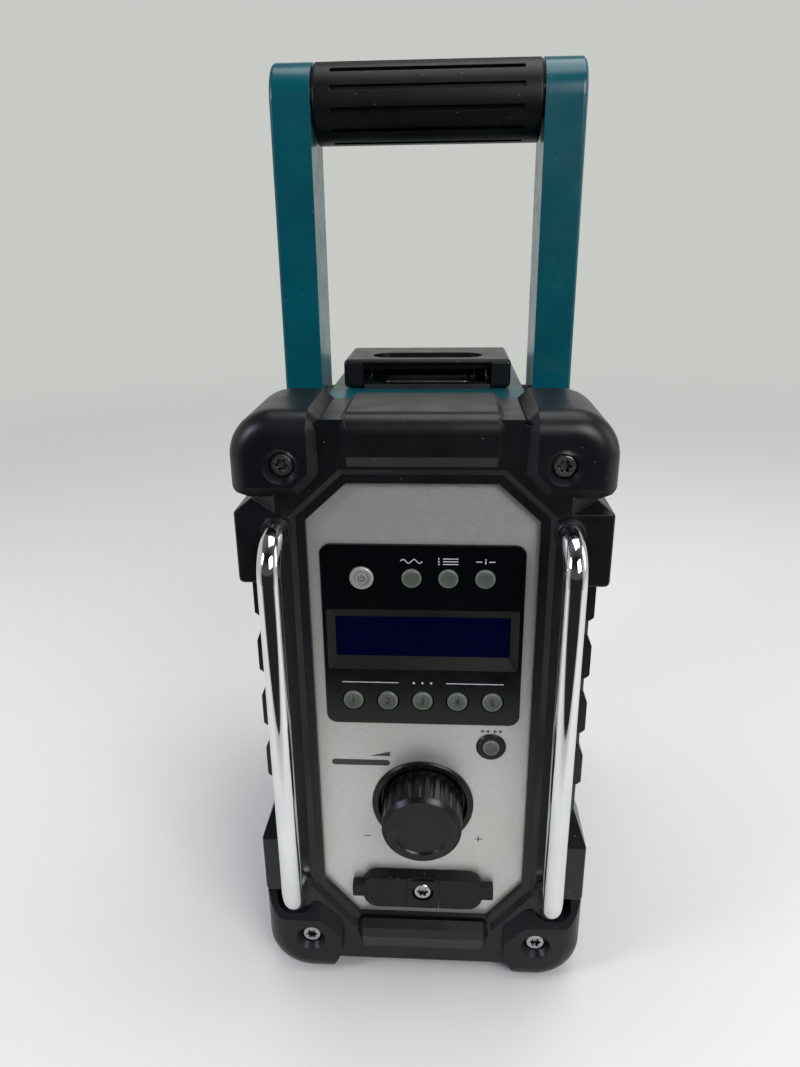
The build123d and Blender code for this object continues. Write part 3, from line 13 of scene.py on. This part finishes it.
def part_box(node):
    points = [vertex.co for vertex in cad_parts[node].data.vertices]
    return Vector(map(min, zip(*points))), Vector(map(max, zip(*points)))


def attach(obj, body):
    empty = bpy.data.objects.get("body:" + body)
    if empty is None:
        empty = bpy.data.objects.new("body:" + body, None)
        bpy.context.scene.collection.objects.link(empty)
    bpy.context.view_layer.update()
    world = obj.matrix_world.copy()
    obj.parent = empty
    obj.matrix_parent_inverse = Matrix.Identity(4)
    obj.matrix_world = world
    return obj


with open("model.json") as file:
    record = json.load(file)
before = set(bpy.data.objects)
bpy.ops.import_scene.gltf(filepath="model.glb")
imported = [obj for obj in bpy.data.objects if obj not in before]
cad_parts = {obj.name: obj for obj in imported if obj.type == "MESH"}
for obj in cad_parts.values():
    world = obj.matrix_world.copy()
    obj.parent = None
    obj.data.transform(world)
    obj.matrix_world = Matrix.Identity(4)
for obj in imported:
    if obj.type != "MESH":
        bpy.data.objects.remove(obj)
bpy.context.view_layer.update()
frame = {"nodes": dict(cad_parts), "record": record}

MM = 0.001


# ---- Node and colour helpers ----
def linear(code):
    """A linear colour from an sRGB hex code."""
    shares = [int(code[place:place + 2], 16) / 255 for place in (1, 3, 5)]
    return (*[c / 12.92 if c <= 0.04045 else ((c + 0.055) / 1.055) ** 2.4 for c in shares], 1.0)


def every(millimetres):
    """The texture scale that repeats about once in so many millimetres."""
    return 1000.0 / millimetres


def add(tree, kind, sockets=None, **settings):
    """Adds a node with its settings, and gives each named socket a value or another node's output."""
    node = tree.nodes.new("ShaderNode" + kind)
    for name, value in settings.items():
        setattr(node, name, value)
    for name, value in (sockets or {}).items():
        if isinstance(value, bpy.types.NodeSocket):
            tree.links.new(value, node.inputs[name])
        else:
            node.inputs[name].default_value = value
    return node


def finish(name, **sockets):
    """A material with one Principled shader, whose plain sockets are set here."""
    material = bpy.data.materials.new(name)
    material.use_nodes = True
    tree = material.node_tree
    tree.nodes.clear()
    plain = {key.replace("_", " "): value for key, value in sockets.items()}
    shader = add(tree, "BsdfPrincipled", plain)
    add(tree, "OutputMaterial", {"Surface": shader.outputs["BSDF"]})
    where = add(tree, "TexCoord").outputs["Object"]
    return material, tree, shader, where


def drift(tree, where, size, low, high, detail=2.0):
    """A number that wanders between low and high over patches about size millimetres wide."""
    faint, full = 0.3, 0.7          # the noise seldom leaves this range
    cloud = add(tree, "TexNoise", {"Vector": where, "Scale": every(size), "Detail": detail})
    share = add(tree, "MapRange", {"Value": cloud.outputs["Fac"], "From Min": faint, "From Max": full,
                                   "To Min": low, "To Max": high})
    return share.outputs["Result"]


def shaded(tree, shader, share, dark, light):
    """Mixes the shader's colour from two shades by a share."""
    mix = add(tree, "MixRGB", {"Fac": share, "Color1": linear(dark), "Color2": linear(light)})
    tree.links.new(mix.outputs["Color"], shader.inputs["Base Color"])


def pitted(tree, shader, height, depth, edge=0.0):
    """Raises the surface by a pattern and softens hard edges, by a depth and a radius in millimetres."""
    bump = add(tree, "Bump", {"Height": height, "Distance": depth * MM})
    if edge:
        soft = add(tree, "Bevel", {"Radius": edge * MM}, samples=4)
        tree.links.new(soft.outputs["Normal"], bump.inputs["Normal"])
    tree.links.new(bump.outputs["Normal"], shader.inputs["Normal"])


def dusted(tree, shader, where):
    """Scatters pale specks of workshop dust, about 0.4 mm wide and a centimetre or two apart."""
    cell = 5
    speck_rim, speck_core = 0.055, 0.03     # shares of a cell
    cover = 0.7
    cells = add(tree, "TexVoronoi", {"Vector": where, "Scale": every(cell)})
    speck = add(tree, "MapRange", {"Value": cells.outputs["Distance"], "From Min": speck_rim,
                                   "From Max": speck_core, "To Max": cover})
    undusted_unshaded = shader.inputs["Base Color"].links[0].from_socket
    dust = linear("#8d8d88")
    mix = add(tree, "MixRGB", {"Fac": speck.outputs["Result"], "Color1": undusted_unshaded, "Color2": dust})
    tree.links.new(mix.outputs["Color"], shader.inputs["Base Color"])


# ---- Finishes ----
def moulded(name, dark, light, roughness, grain, depth, **sockets):
    """A moulding or a coat: its shade drifts slowly, and a fine grain breaks up its gloss."""
    shade_patch, gloss_patch = 45, 12
    gloss_swing = 0.04
    material, tree, shader, where = finish(name, **sockets)
    shaded(tree, shader, drift(tree, where, shade_patch, 0, 1), dark, light)
    dusted(tree, shader, where)
    gloss = drift(tree, where, gloss_patch, roughness - gloss_swing, roughness + gloss_swing)
    tree.links.new(gloss, shader.inputs["Roughness"])
    texture = add(tree, "TexNoise", {"Vector": where, "Scale": every(grain), "Detail": 3.0})
    pitted(tree, shader, texture.outputs["Fac"], depth, edge=0.4)
    return material


def teal_paint():
    """Polyester paint, sprayed and cured: satin, with an orange peel about 1.5 mm wide."""
    return moulded("satin_polyester_paint_teal", "#00424a", "#004d55", 0.34, 1.5, 0.012,
                   Specular_IOR_Level=0.4)


def teal_powder_coat():
    """Powder coat on die-cast aluminium: a little glossier, with a wider orange peel of about 2 mm."""
    return moulded("powder_coated_aluminium_teal", "#00444e", "#004f59", 0.24, 2.0, 0.01,
                   Specular_IOR_Level=0.4)


def frame_plastic():
    """Glass-filled nylon from a spark-eroded mould: satin black, with a fine grain about 0.8 mm wide."""
    return moulded("glass_filled_nylon_black", "#090b0d", "#0d0f12", 0.34, 0.8, 0.012,
                   Specular_IOR_Level=0.38)


def bumper_elastomer():
    """Thermoplastic elastomer over nylon: a soft, broad highlight, and a grain about 1 mm wide."""
    return moulded("thermoplastic_elastomer_black", "#090b0e", "#0e1014", 0.36, 1.0, 0.012,
                   Specular_IOR_Level=0.3)


def grip_rubber():
    """Moulded nitrile rubber: a dull black, with a faint broad shine and a grain about 0.9 mm wide."""
    return moulded("nitrile_rubber_black", "#08090a", "#0e0f10", 0.4, 0.9, 0.012,
                   Specular_IOR_Level=0.24)


def port_rubber():
    """Soft silicone rubber: dull and very dark, with a grain about 0.7 mm wide."""
    return moulded("silicone_rubber_black", "#090b0d", "#0e1012", 0.42, 0.7, 0.01,
                   Specular_IOR_Level=0.25)


def knob_plastic():
    """Moulded ABS with a fine satin texture, about 0.6 mm wide."""
    return moulded("satin_abs_black", "#0b0c0e", "#101113", 0.28, 0.6, 0.006,
                   Specular_IOR_Level=0.3)


def inner_plastic():
    """Plain ABS, as moulded, for what sits inside: dark grey and dull."""
    return moulded("plain_abs_dark_grey", "#26282b", "#2e3033", 0.5, 1.2, 0.02)


def grille_steel():
    """Perforated steel under black powder coat: dull, with a slight orange peel."""
    return moulded("powder_coated_steel_black", "#141517", "#1c1d20", 0.45, 1.4, 0.02)


def cone_pulp():
    """Pressed paper pulp: soft, fibrous and dark."""
    return moulded("paper_pulp_charcoal", "#191a1b", "#26272a", 0.8, 0.9, 0.06, Sheen_Weight=0.3)


def silver_paint():
    """Metallic silver lacquer on ABS: fine flakes, drawn about 0.7 mm wide so that they show."""
    flake = 0.7
    material, tree, shader, where = finish("metallic_lacquer_silver", Metallic=0.75)
    flakes = add(tree, "TexVoronoi", {"Vector": where, "Scale": every(flake)})
    shaded(tree, shader, drift(tree, where, flake, 0, 1, detail=1.0), "#c2c4bf", "#cdcfca")
    gloss = add(tree, "MapRange", {"Value": flakes.outputs["Color"], "To Min": 0.36, "To Max": 0.48})
    tree.links.new(gloss.outputs["Result"], shader.inputs["Roughness"])
    pitted(tree, shader, flakes.outputs["Distance"], 0.004)
    return material


def bezel_gloss():
    """Black acrylic: polished on its face, and satin as moulded on the slopes around the display, which
    also get a paler, brownish colour as painted sheen.
    """
    face_turn, slope_turn = -0.98, -0.9     # the normal's Y on the flat face and on a slope
    polished_sheen, moulded_sheen = 0.5, 0.2
    moulded_gloss = 0.36
    material, tree, shader, where = finish("polished_acrylic_black", IOR=1.43)
    facing = add(tree, "SeparateXYZ", {"Vector": add(tree, "TexCoord").outputs["Normal"]})
    slope = add(tree, "MapRange", {"Value": facing.outputs["Y"], "From Min": face_turn,
                                   "From Max": slope_turn}).outputs["Result"]
    # Painted sheen: the slopes' base colour is paler and browner than the black face.
    shaded(tree, shader, slope, "#040508", "#1b1c18")
    sheen = add(tree, "MapRange", {"Value": slope, "To Min": polished_sheen, "To Max": moulded_sheen})
    tree.links.new(sheen.outputs["Result"], shader.inputs["Specular IOR Level"])
    polished_gloss = drift(tree, where, 9, 0.14, 0.22)
    gloss = add(tree, "MapRange", {"Value": slope, "To Min": polished_gloss, "To Max": moulded_gloss})
    tree.links.new(gloss.outputs["Result"], shader.inputs["Roughness"])
    return material


def display_glass():
    """Navy-tinted acrylic over a display that is off: polished, and almost black."""
    material, tree, shader, where = finish("tinted_acrylic_navy", IOR=1.4)
    shaded(tree, shader, drift(tree, where, 30, 0, 1), "#01011d", "#010226")
    tree.links.new(drift(tree, where, 14, 0.08, 0.14), shader.inputs["Roughness"])
    return material


def key_silicone(node):
    """A frosted silicone key: grey-green, with painted shade darkening its dish and a painted highlight
    paling its rim.
    """
    dish_share, rim_share = 0.45, 0.9       # of the key's radius
    material, tree, shader, where = finish(f"frosted_silicone_{node}", IOR=1.43, Subsurface_Weight=0.2,
                                           Subsurface_Radius=(1.0, 1.1, 0.9), Subsurface_Scale=1.5 * MM)
    low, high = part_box(node)
    centre = (low + high) / 2
    radius = (high.x - low.x) / 2
    flat = add(tree, "Mapping", {"Vector": where, "Location": (-centre.x, 0.0, -centre.z),
                                 "Scale": (1.0, 0.0, 1.0)})
    away = add(tree, "VectorMath", {0: flat.outputs["Vector"]}, operation="LENGTH")
    # Painted shade in the dish and a painted highlight on the rim, set by distance from the key's middle.
    dish_shade_rim_light = add(tree, "MapRange", {"Value": away.outputs["Value"], "From Min": dish_share * radius,
                                 "From Max": rim_share * radius}, interpolation_type="SMOOTHSTEP")
    shaded(tree, shader, dish_shade_rim_light.outputs["Result"], "#4e544d", "#7a8178")
    tree.links.new(drift(tree, where, 2, 0.22, 0.32), shader.inputs["Roughness"])
    return material


def spun_aluminium():
    """Lacquered aluminium faced on a lathe: pale, with the cutter's fine rings."""
    ring_pitch = 3.14                           # coarser than a cutter's 0.2 mm, so that the rings show
    ring_scale = every(ring_pitch) * pi / 10    # at a scale of 1 the wave texture's pitch is pi / 10
    material, tree, shader, where = finish("lacquered_spun_aluminium", Metallic=0.6, Roughness=0.45)
    low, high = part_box("power_button")
    centred = add(tree, "Mapping", {"Vector": where, "Location": -(low + high) / 2})
    rings = add(tree, "TexWave", {"Vector": centred.outputs["Vector"], "Scale": ring_scale,
                                  "Distortion": 0.3, "Detail": 1.0},
                wave_type="RINGS", rings_direction="Y")
    shaded(tree, shader, rings.outputs["Fac"], "#a2a59f", "#b6b9b3")
    pitted(tree, shader, rings.outputs["Fac"], 0.01, edge=0.3)
    return material


def chrome_plate():
    """Bright chromium over nickel on steel tube: a mirror, with faint smears where it was wiped."""
    material, tree, shader, where = finish("chromium_plate_bright", Metallic=1.0)
    shaded(tree, shader, drift(tree, where, 25, 0, 1), "#d9dbdc", "#e4e6e6")
    tree.links.new(drift(tree, where, 18, 0.03, 0.09), shader.inputs["Roughness"])
    return material


def zinc_plate():
    """Zinc-plated steel: bright, cool and slightly uneven, with painted shade darkening the recesses of
    the screws.
    """
    hollow_reach = 2.5
    shaded_openness, lit_openness = 0.45, 0.8                # how open a place is that gets full painted shade, and one that gets none
    material, tree, shader, where = finish("zinc_plated_steel", Metallic=1.0)
    # Painted shade: ambient occlusion darkens the screws' recesses to near black.
    hollow = add(tree, "AmbientOcclusion", {"Distance": hollow_reach * MM}, samples=8, only_local=True)
    undusted_unshaded = add(tree, "MapRange", {"Value": hollow.outputs["AO"], "From Min": shaded_openness, "From Max": lit_openness})
    shaded(tree, shader, undusted_unshaded.outputs["Result"], "#161718", "#b0b3b4")
    tree.links.new(drift(tree, where, 1.5, 0.24, 0.34), shader.inputs["Roughness"])
    texture = add(tree, "TexNoise", {"Vector": where, "Scale": every(0.8), "Detail": 3.0})
    pitted(tree, shader, texture.outputs["Fac"], 0.001, edge=0.15)
    return material


def spring_steel():
    """Spring wire under a zinc phosphate coat: dark grey, with a dull shine."""
    material, tree, shader, where = finish("phosphated_spring_steel", Metallic=1.0)
    shaded(tree, shader, drift(tree, where, 3, 0, 1), "#46484a", "#55585a")
    tree.links.new(drift(tree, where, 2, 0.3, 0.4), shader.inputs["Roughness"])
    return material


def solder_mask():
    """Fibreglass board under green solder mask, with the weave about 1 mm wide."""
    material, tree, shader, where = finish("solder_masked_fibreglass", Roughness=0.35)
    weave = add(tree, "TexChecker", {"Vector": where, "Scale": every(1.0)})
    shaded(tree, shader, weave.outputs["Fac"], "#0d3a22", "#11452a")
    pitted(tree, shader, weave.outputs["Fac"], 0.01)
    return material


def cell_sleeve():
    """Heat-shrunk PVC sleeve on a small cell: glossy blue, with slight ripples 4 mm wide."""
    material, tree, shader, where = finish("pvc_sleeve_blue", Roughness=0.25, IOR=1.53)
    ripple = drift(tree, where, 4, 0, 1)
    shaded(tree, shader, ripple, "#23527f", "#2c5f92")
    pitted(tree, shader, ripple, 0.05)
    return material


def printed_ink(name, dark, light):
    """Pad-printed ink: matt, and slightly uneven in its cover over patches about 1 mm wide."""
    material, tree, shader, where = finish(name, Roughness=0.5)
    shaded(tree, shader, drift(tree, where, 1, 0, 1), dark, light)
    return material


# ---- Finishes on the model's own pieces ----
slot_finish = {
    "teal_housing": teal_paint(),
    "handle_paint": teal_powder_coat(),
    "frame_plastic": frame_plastic(),
    "bumper_elastomer": bumper_elastomer(),
    "silver_panel": silver_paint(),
    "gloss_bezel": bezel_gloss(),
    "display_glass": display_glass(),
    "power_metal": spun_aluminium(),
    "knob_plastic": knob_plastic(),
    "port_rubber": port_rubber(),
    "grip_rubber": grip_rubber(),
    "chrome_bar": chrome_plate(),
    "bright_steel": zinc_plate(),
    "grille_steel": grille_steel(),
    "inner_plastic": inner_plastic(),
    "circuit_board": solder_mask(),
    "speaker_cone": cone_pulp(),
    "cell_jacket": cell_sleeve(),
}
own_finish = {"latch_bail": spring_steel(), "scan_button_ring": slot_finish["knob_plastic"]}
for entry in frame["record"]["subparts"]:
    name, slot = entry["node"], entry["material_slot"]
    if slot == "key_rubber":
        material = key_silicone(name)
    else:
        material = own_finish.get(name, slot_finish[slot])
    materials = frame["nodes"][name].data.materials
    materials.clear()
    materials.append(material)


# ---- Mesh helpers ----
def piece(name, mesh, body, ink):
    """Puts a finished bmesh in the scene as one printed piece of the radio."""
    bmesh.ops.recalc_face_normals(mesh, faces=mesh.faces)
    data = bpy.data.meshes.new(name)
    mesh.to_mesh(data)
    mesh.free()
    data.materials.append(ink)
    made = bpy.data.objects.new(name, data)
    bpy.context.scene.collection.objects.link(made)
    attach(made, body)


def joined_rings(mesh, rings):
    """Skins a row of equal rings of points, and caps both its ends."""
    loops = [[mesh.verts.new(point) for point in ring] for ring in rings]
    count = len(loops[0])
    for near, far in zip(loops, loops[1:]):
        for place in range(count):
            after = (place + 1) % count
            mesh.faces.new((near[place], near[after], far[after], far[place]))
    mesh.faces.new(loops[0])
    mesh.faces.new(loops[-1])


def on_front(face_y):
    """Places millimetres across and up, and a depth behind the face, on a face that looks forwards."""
    return lambda across, up, depth: (across * MM, face_y + depth * MM, up * MM)


def on_top(face_z):
    """Places millimetres across and to the rear, and a depth below the face, on a face that looks up."""
    return lambda across, back, depth: (across * MM, back * MM, face_z - depth * MM)


def patch(mesh, outline, place):
    """A filled shape, as thick as the ink."""
    joined_rings(mesh, [[place(u, v, depth) for u, v in outline] for depth in (-ink_proud, ink_sunk)])


def stroke(mesh, points, width, place):
    """A line of even width through flat points, mitred at its corners, as thick as the ink."""
    points = [Vector(point) for point in points]
    rings = []
    for index, point in enumerate(points):
        before = points[index - 1] if index else 2 * point - points[1]
        after = points[index + 1] if index + 1 < len(points) else 2 * point - before
        leave = (after - point).normalized()
        along = ((point - before).normalized() + leave).normalized()
        side = Vector((-along.y, along.x)) * width / 2 / along.dot(leave)
        left, right = point + side, point - side
        rings.append([place(*left, -ink_proud), place(*right, -ink_proud), place(*right, ink_sunk),
                      place(*left, ink_sunk)])
    joined_rings(mesh, rings)


def arc(across, up, radius, start, stop, steps=24):
    """Points along an arc, from one angle to another in degrees."""
    turns = [radians(start + (stop - start) * step / steps) for step in range(steps + 1)]
    return [(across + radius * cos(turn), up + radius * sin(turn)) for turn in turns]


def ring_points(across, up, radius):
    """Points around a whole circle."""
    return arc(across, up, radius, 0, 360)[:-1]


def pill(across, up, length, height):
    """The outline of a bar with round ends."""
    reach = (length - height) / 2
    return arc(across + reach, up, height / 2, -90, 90) + arc(across - reach, up, height / 2, 90, 270)


# ---- Printed marks ----
# In millimetres, as are the sizes and places in the functions below.
ink_proud = 0.03            # stands above the face it is on
ink_sunk = 0.05             # and reaches below it
line_width = 0.4
broad_line = 0.55
small_dot = 0.36            # a radius

white_ink = printed_ink("pad_printing_ink_white", "#b4b8bf", "#c6c9cf")
grey_ink = printed_ink("pad_printing_ink_charcoal", "#2b2c2e", "#37383a")
key_ink = printed_ink("pad_printing_ink_grey", "#191d1b", "#232725")


def middle(node):
    """A node's middle, left to right and up, in millimetres."""
    low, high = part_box(node)
    return (low.x + high.x) / 2 / MM, (low.z + high.z) / 2 / MM


def function_marks():
    """White marks above the three function buttons: a wave, a list, and a bar and dot between dashes."""
    mesh = bmesh.new()
    place = on_front(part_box("display_bezel")[0].y)
    rise = 8.2                      # from a button's middle up to its mark
    wave_reach, wave_height = 4.8, 0.9
    wave_steps = 12                 # in each of its two waves
    row_gap, row_left, row_right, row_dot = 1.3, -2.4, 4.4, -4.2
    bar_low, bar_high, bar_dot = -1.1, 0.35, 1.05
    dash_near, dash_far = 1.5, 4.2

    across, up = middle("band_button")
    waves = [step / wave_steps for step in range(2 * wave_steps + 1)]
    stroke(mesh, [(across + wave_reach * (turn - 1), up + rise + wave_height * sin(2 * pi * turn))
                  for turn in waves], line_width, place)

    across, up = middle("menu_button")
    for row in (up + rise - row_gap, up + rise, up + rise + row_gap):
        stroke(mesh, [(across + row_left, row), (across + row_right, row)], line_width, place)
        patch(mesh, ring_points(across + row_dot, row, small_dot), place)

    across, up = middle("info_button")
    row = up + rise
    stroke(mesh, [(across, row + bar_low), (across, row + bar_high)], broad_line, place)
    patch(mesh, ring_points(across, row + bar_dot, small_dot), place)
    for side in (-1, 1):
        stroke(mesh, [(across + side * dash_near, row), (across + side * dash_far, row)],
               line_width, place)
    piece("function_marks", mesh, "body", white_ink)


def preset_marks():
    """The white rule over the preset buttons, broken in the middle by three dots."""
    mesh = bmesh.new()
    place = on_front(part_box("display_bezel")[0].y)
    rule_rise, rule_start, rule_end = 9.7, 11.0, 37.4
    dot_pitch, dot_radius = 4.0, 0.55
    up = middle("preset_button_3")[1] + rule_rise
    for side in (-1, 1):
        stroke(mesh, [(side * rule_start, up), (side * rule_end, up)], line_width, place)
    for across in (-dot_pitch, 0.0, dot_pitch):
        patch(mesh, ring_points(across, up, dot_radius), place)
    piece("preset_marks", mesh, "body", white_ink)


def preset_digit(number):
    """A preset button's digit, printed in the dish of its face."""
    node = f"preset_button_{number}"
    digit_height = 3.6
    height_share = 0.7              # of the font's size, in a digit
    digit_sink = 0.26               # down to the dish, from the button's front
    across, up = middle(node)
    data = bpy.data.curves.new(f"preset_digit_{number}", "FONT")
    data.body = str(number)
    data.size = digit_height * MM / height_share
    data.align_x = "CENTER"
    data.align_y = "CENTER"
    data.extrude = ink_sunk * MM
    data.resolution_u = 6
    data.materials.append(key_ink)
    made = bpy.data.objects.new(f"preset_digit_{number}", data)
    made.location = (across * MM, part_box(node)[0].y + digit_sink * MM, up * MM)
    made.rotation_euler = (pi / 2, 0, 0)
    bpy.context.scene.collection.objects.link(made)
    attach(made, node)


def power_mark():
    """The power symbol in the middle of its button: an open ring with a bar in the gap."""
    mesh = bmesh.new()
    face_sink = 0.3                 # down to the dish, from the button's front
    line = 0.42
    ring_radius, ring_drop = 1.35, 0.1
    ring_start, ring_stop = 130, 410        # degrees
    bar_low, bar_high = 0.15, 1.65
    place = on_front(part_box("power_button")[0].y + face_sink * MM)
    across, up = middle("power_button")
    stroke(mesh, arc(across, up - ring_drop, ring_radius, ring_start, ring_stop), line, place)
    stroke(mesh, [(across, up + bar_low), (across, up + bar_high)], line, place)
    piece("power_mark", mesh, "power_button", key_ink)


def panel_marks():
    """Charcoal marks: a pill, a wedge, minus and plus by the knob, and arrows over the scan button."""
    mesh = bmesh.new()
    place = on_front(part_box("front_panel")[0].y)
    pill_out, pill_rise, pill_length, pill_height = 30.1, 23.6, 28.4, 3.3
    wedge_left, wedge_right, wedge_foot, wedge_top = -25.6, -15.8, 27.5, 30.1
    sign_out, sign_drop, sign_reach = 27.9, 20.9, 1.8
    arrow_rise, arrow_reach, arrow_half = 8.6, 1.8, 1.0
    arrow_starts = (1.1, 3.6)

    across, up = middle("volume_knob")
    patch(mesh, pill(across - pill_out, up + pill_rise, pill_length, pill_height), place)
    patch(mesh, [(across + wedge_left, up + wedge_foot), (across + wedge_right, up + wedge_foot),
                 (across + wedge_right, up + wedge_top)], place)
    row = up - sign_drop
    for sign in (across - sign_out, across + sign_out):
        stroke(mesh, [(sign - sign_reach, row), (sign + sign_reach, row)], broad_line, place)
    stroke(mesh, [(across + sign_out, row - sign_reach), (across + sign_out, row + sign_reach)],
           broad_line, place)

    across, up = middle("scan_button_ring")
    row = up + arrow_rise
    for side in (-1, 1):
        for start in arrow_starts:
            foot, tip = across + side * start, across + side * (start + arrow_reach)
            patch(mesh, [(foot, row + arrow_half), (foot, row - arrow_half), (tip, row)], place)
    piece("panel_marks", mesh, "body", grey_ink)


def latch_mark():
    """A small triangle in front of the latch's dish that shows where to lift."""
    mesh = bmesh.new()
    place = on_top(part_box("latch_lever")[1].z)
    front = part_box("latch_lever")[0].y / MM
    half_width = 1.6
    tip, foot = front + 2.8, front + 5.6
    patch(mesh, [(-half_width, foot), (half_width, foot), (0, tip)], place)
    piece("latch_mark", mesh, "latch_lever", key_ink)


function_marks()
preset_marks()
for number in range(1, 6):
    preset_digit(number)
power_mark()
panel_marks()
latch_mark()


# ---- Stage, lamps and camera ----
paper_tone = "#cdcecb"
backdrop_tone = "#c8cac6"
table_front = -0.36         # the table ends here, in front of the radio
table_reach = 12.0


def studio_floor():
    """A table top of pale paper: matt, and fading into the backdrop's tone away from the radio."""
    fade_start, fade_end = 0.5, 2.2
    edge_fade = 0.1
    mesh = bmesh.new()
    corners = [(-table_reach, table_front), (table_reach, table_front),
               (table_reach, table_reach), (-table_reach, table_reach)]
    mesh.faces.new([mesh.verts.new((x, y, 0)) for x, y in corners])
    data = bpy.data.meshes.new("studio_floor")
    mesh.to_mesh(data)
    mesh.free()
    material = bpy.data.materials.new("matt_paper_pale")
    material.use_nodes = True
    tree = material.node_tree
    tree.nodes.clear()
    where = add(tree, "TexCoord").outputs["Object"]
    paper = add(tree, "BsdfPrincipled", {"Base Color": linear(paper_tone), "Roughness": 0.75})
    far = add(tree, "Emission", {"Color": linear(backdrop_tone)})
    distance = add(tree, "VectorMath", {0: where}, operation="LENGTH")
    faded = add(tree, "MapRange", {"Value": distance.outputs["Value"], "From Min": fade_start,
                                   "From Max": fade_end}, interpolation_type="SMOOTHSTEP")
    along = add(tree, "SeparateXYZ", {"Vector": where})
    edge = add(tree, "MapRange", {"Value": along.outputs["Y"], "From Min": table_front + edge_fade,
                                  "From Max": table_front}, interpolation_type="SMOOTHSTEP")
    share = add(tree, "Math", {0: faded.outputs["Result"], 1: edge.outputs["Result"]},
                operation="MAXIMUM")
    mix = add(tree, "MixShader", {0: share.outputs[0], 1: paper.outputs[0], 2: far.outputs[0]})
    add(tree, "OutputMaterial", {"Surface": mix.outputs[0]})
    data.materials.append(material)
    made = bpy.data.objects.new("studio_floor", data)
    bpy.context.scene.collection.objects.link(made)


def backdrop():
    """The room: a pale backdrop behind and beside the radio, a dim space in front, and a dark ceiling.

    The camera sees the pale backdrop whichever way it looks. Metal and glass show it where it is, and the
    dim space and the ceiling where those are, which gives bright metal its dark bands.
    """
    # How far a ray points to the rear or up, where one part of the room gives way to the next.
    space_edge, table_edge, ceiling_edge = (-0.6, -0.1), (-0.02, 0.05), (0.6, 0.35)
    under_level, space_level, room_level, ceiling_level = 0.02, 0.08, 0.85, 0.15
    world = bpy.data.worlds.new("pale_room")
    bpy.context.scene.world = world
    world.use_nodes = True
    tree = world.node_tree
    tree.nodes.clear()
    towards = add(tree, "SeparateXYZ", {"Vector": add(tree, "TexCoord").outputs["Generated"]}).outputs
    rays = add(tree, "LightPath").outputs
    behind = add(tree, "MapRange", {"Value": towards["Y"], "From Min": space_edge[0],
                                    "From Max": space_edge[1]}).outputs["Result"]
    front = add(tree, "MapRange", {"Value": towards["Z"], "From Min": table_edge[0],
                                   "From Max": table_edge[1], "To Min": under_level,
                                   "To Max": space_level}).outputs["Result"]
    strength = add(tree, "MapRange", {"Value": behind, "To Min": front,
                                      "To Max": room_level}).outputs["Result"]
    below = add(tree, "MapRange", {"Value": towards["Z"], "From Min": ceiling_edge[0],
                                   "From Max": ceiling_edge[1]}).outputs["Result"]
    overhead = add(tree, "MapRange", {"Value": below, "To Min": ceiling_level}).outputs["Result"]
    mirror = add(tree, "Math", {0: rays["Is Glossy Ray"], 1: rays["Is Transmission Ray"]},
                 operation="MAXIMUM").outputs[0]
    dimmed = add(tree, "MapRange", {"Value": mirror, "To Min": 1.0, "To Max": overhead}).outputs["Result"]
    glow = add(tree, "Math", {0: strength, 1: dimmed}, operation="MULTIPLY").outputs[0]
    lit = add(tree, "Background", {"Color": (1.0, 1.0, 1.0, 1.0), "Strength": glow})
    seen = add(tree, "Background", {"Color": linear(backdrop_tone), "Strength": 1.0})
    room = add(tree, "Math", {0: behind, 1: below}, operation="MULTIPLY").outputs[0]
    mirrored = add(tree, "Math", {0: mirror, 1: room}, operation="MULTIPLY").outputs[0]
    share = add(tree, "Math", {0: rays["Is Camera Ray"], 1: mirrored}, operation="MAXIMUM")
    mix = add(tree, "MixShader", {0: share.outputs[0], 1: lit.outputs[0], 2: seen.outputs[0]})
    add(tree, "OutputWorld", {"Surface": mix.outputs[0]})


def lamp(name, place, width, height, watts, aim=(0, 0, 0.2), tint="#ffffff"):
    """A soft box that points at a place on the radio: at its middle, unless another is given."""
    data = bpy.data.lights.new(name, "AREA")
    data.shape = "RECTANGLE"
    data.size = width
    data.size_y = height
    data.energy = watts
    data.color = linear(tint)[:3]
    made = bpy.data.objects.new(name, data)
    made.location = place
    made.rotation_mode = "QUATERNION"
    made.rotation_quaternion = (Vector(aim) - Vector(place)).to_track_quat("-Z", "Y")
    bpy.context.scene.collection.objects.link(made)


def camera():
    """A wide lens above the radio, tipped down at its front."""
    lens_in_pixels = 800.0
    picture_height = 1067.0
    place = (0.01039, -0.41234, 0.37024)
    turn, tip, roll = 3.538, 20.569, -0.699     # degrees
    data = bpy.data.cameras.new("front_camera")
    data.sensor_width = 36.0
    data.lens = data.sensor_width * lens_in_pixels / picture_height
    data.clip_start = 0.01
    made = bpy.data.objects.new("front_camera", data)
    turned = Matrix.Rotation(radians(turn), 4, "Z")
    tipped = Matrix.Rotation(pi / 2 - radians(tip), 4, "X")
    rolled = Matrix.Rotation(radians(roll), 4, "Z")
    made.matrix_world = Matrix.Translation(place) @ turned @ tipped @ rolled
    bpy.context.scene.collection.objects.link(made)
    bpy.context.scene.camera = made


studio_floor()
backdrop()
lamp("key_soft_box", place=(0.7, -1.2, 1.0), width=0.7, height=0.7, watts=16.5)
lamp("overhead_soft_box", place=(0.2, 0.1, 1.5), width=1.0, height=1.0, watts=9)
lamp("right_soft_box", place=(1.3, 0.0, 0.7), width=0.5, height=0.9, watts=2.5)
lamp("left_window", place=(-1.1, -0.7, 0.9), width=0.3, height=0.5, watts=8, aim=(0, 0, 0.25),
     tint="#e8e4ff")
camera()
bpy.context.scene.view_settings.view_transform = "Standard"
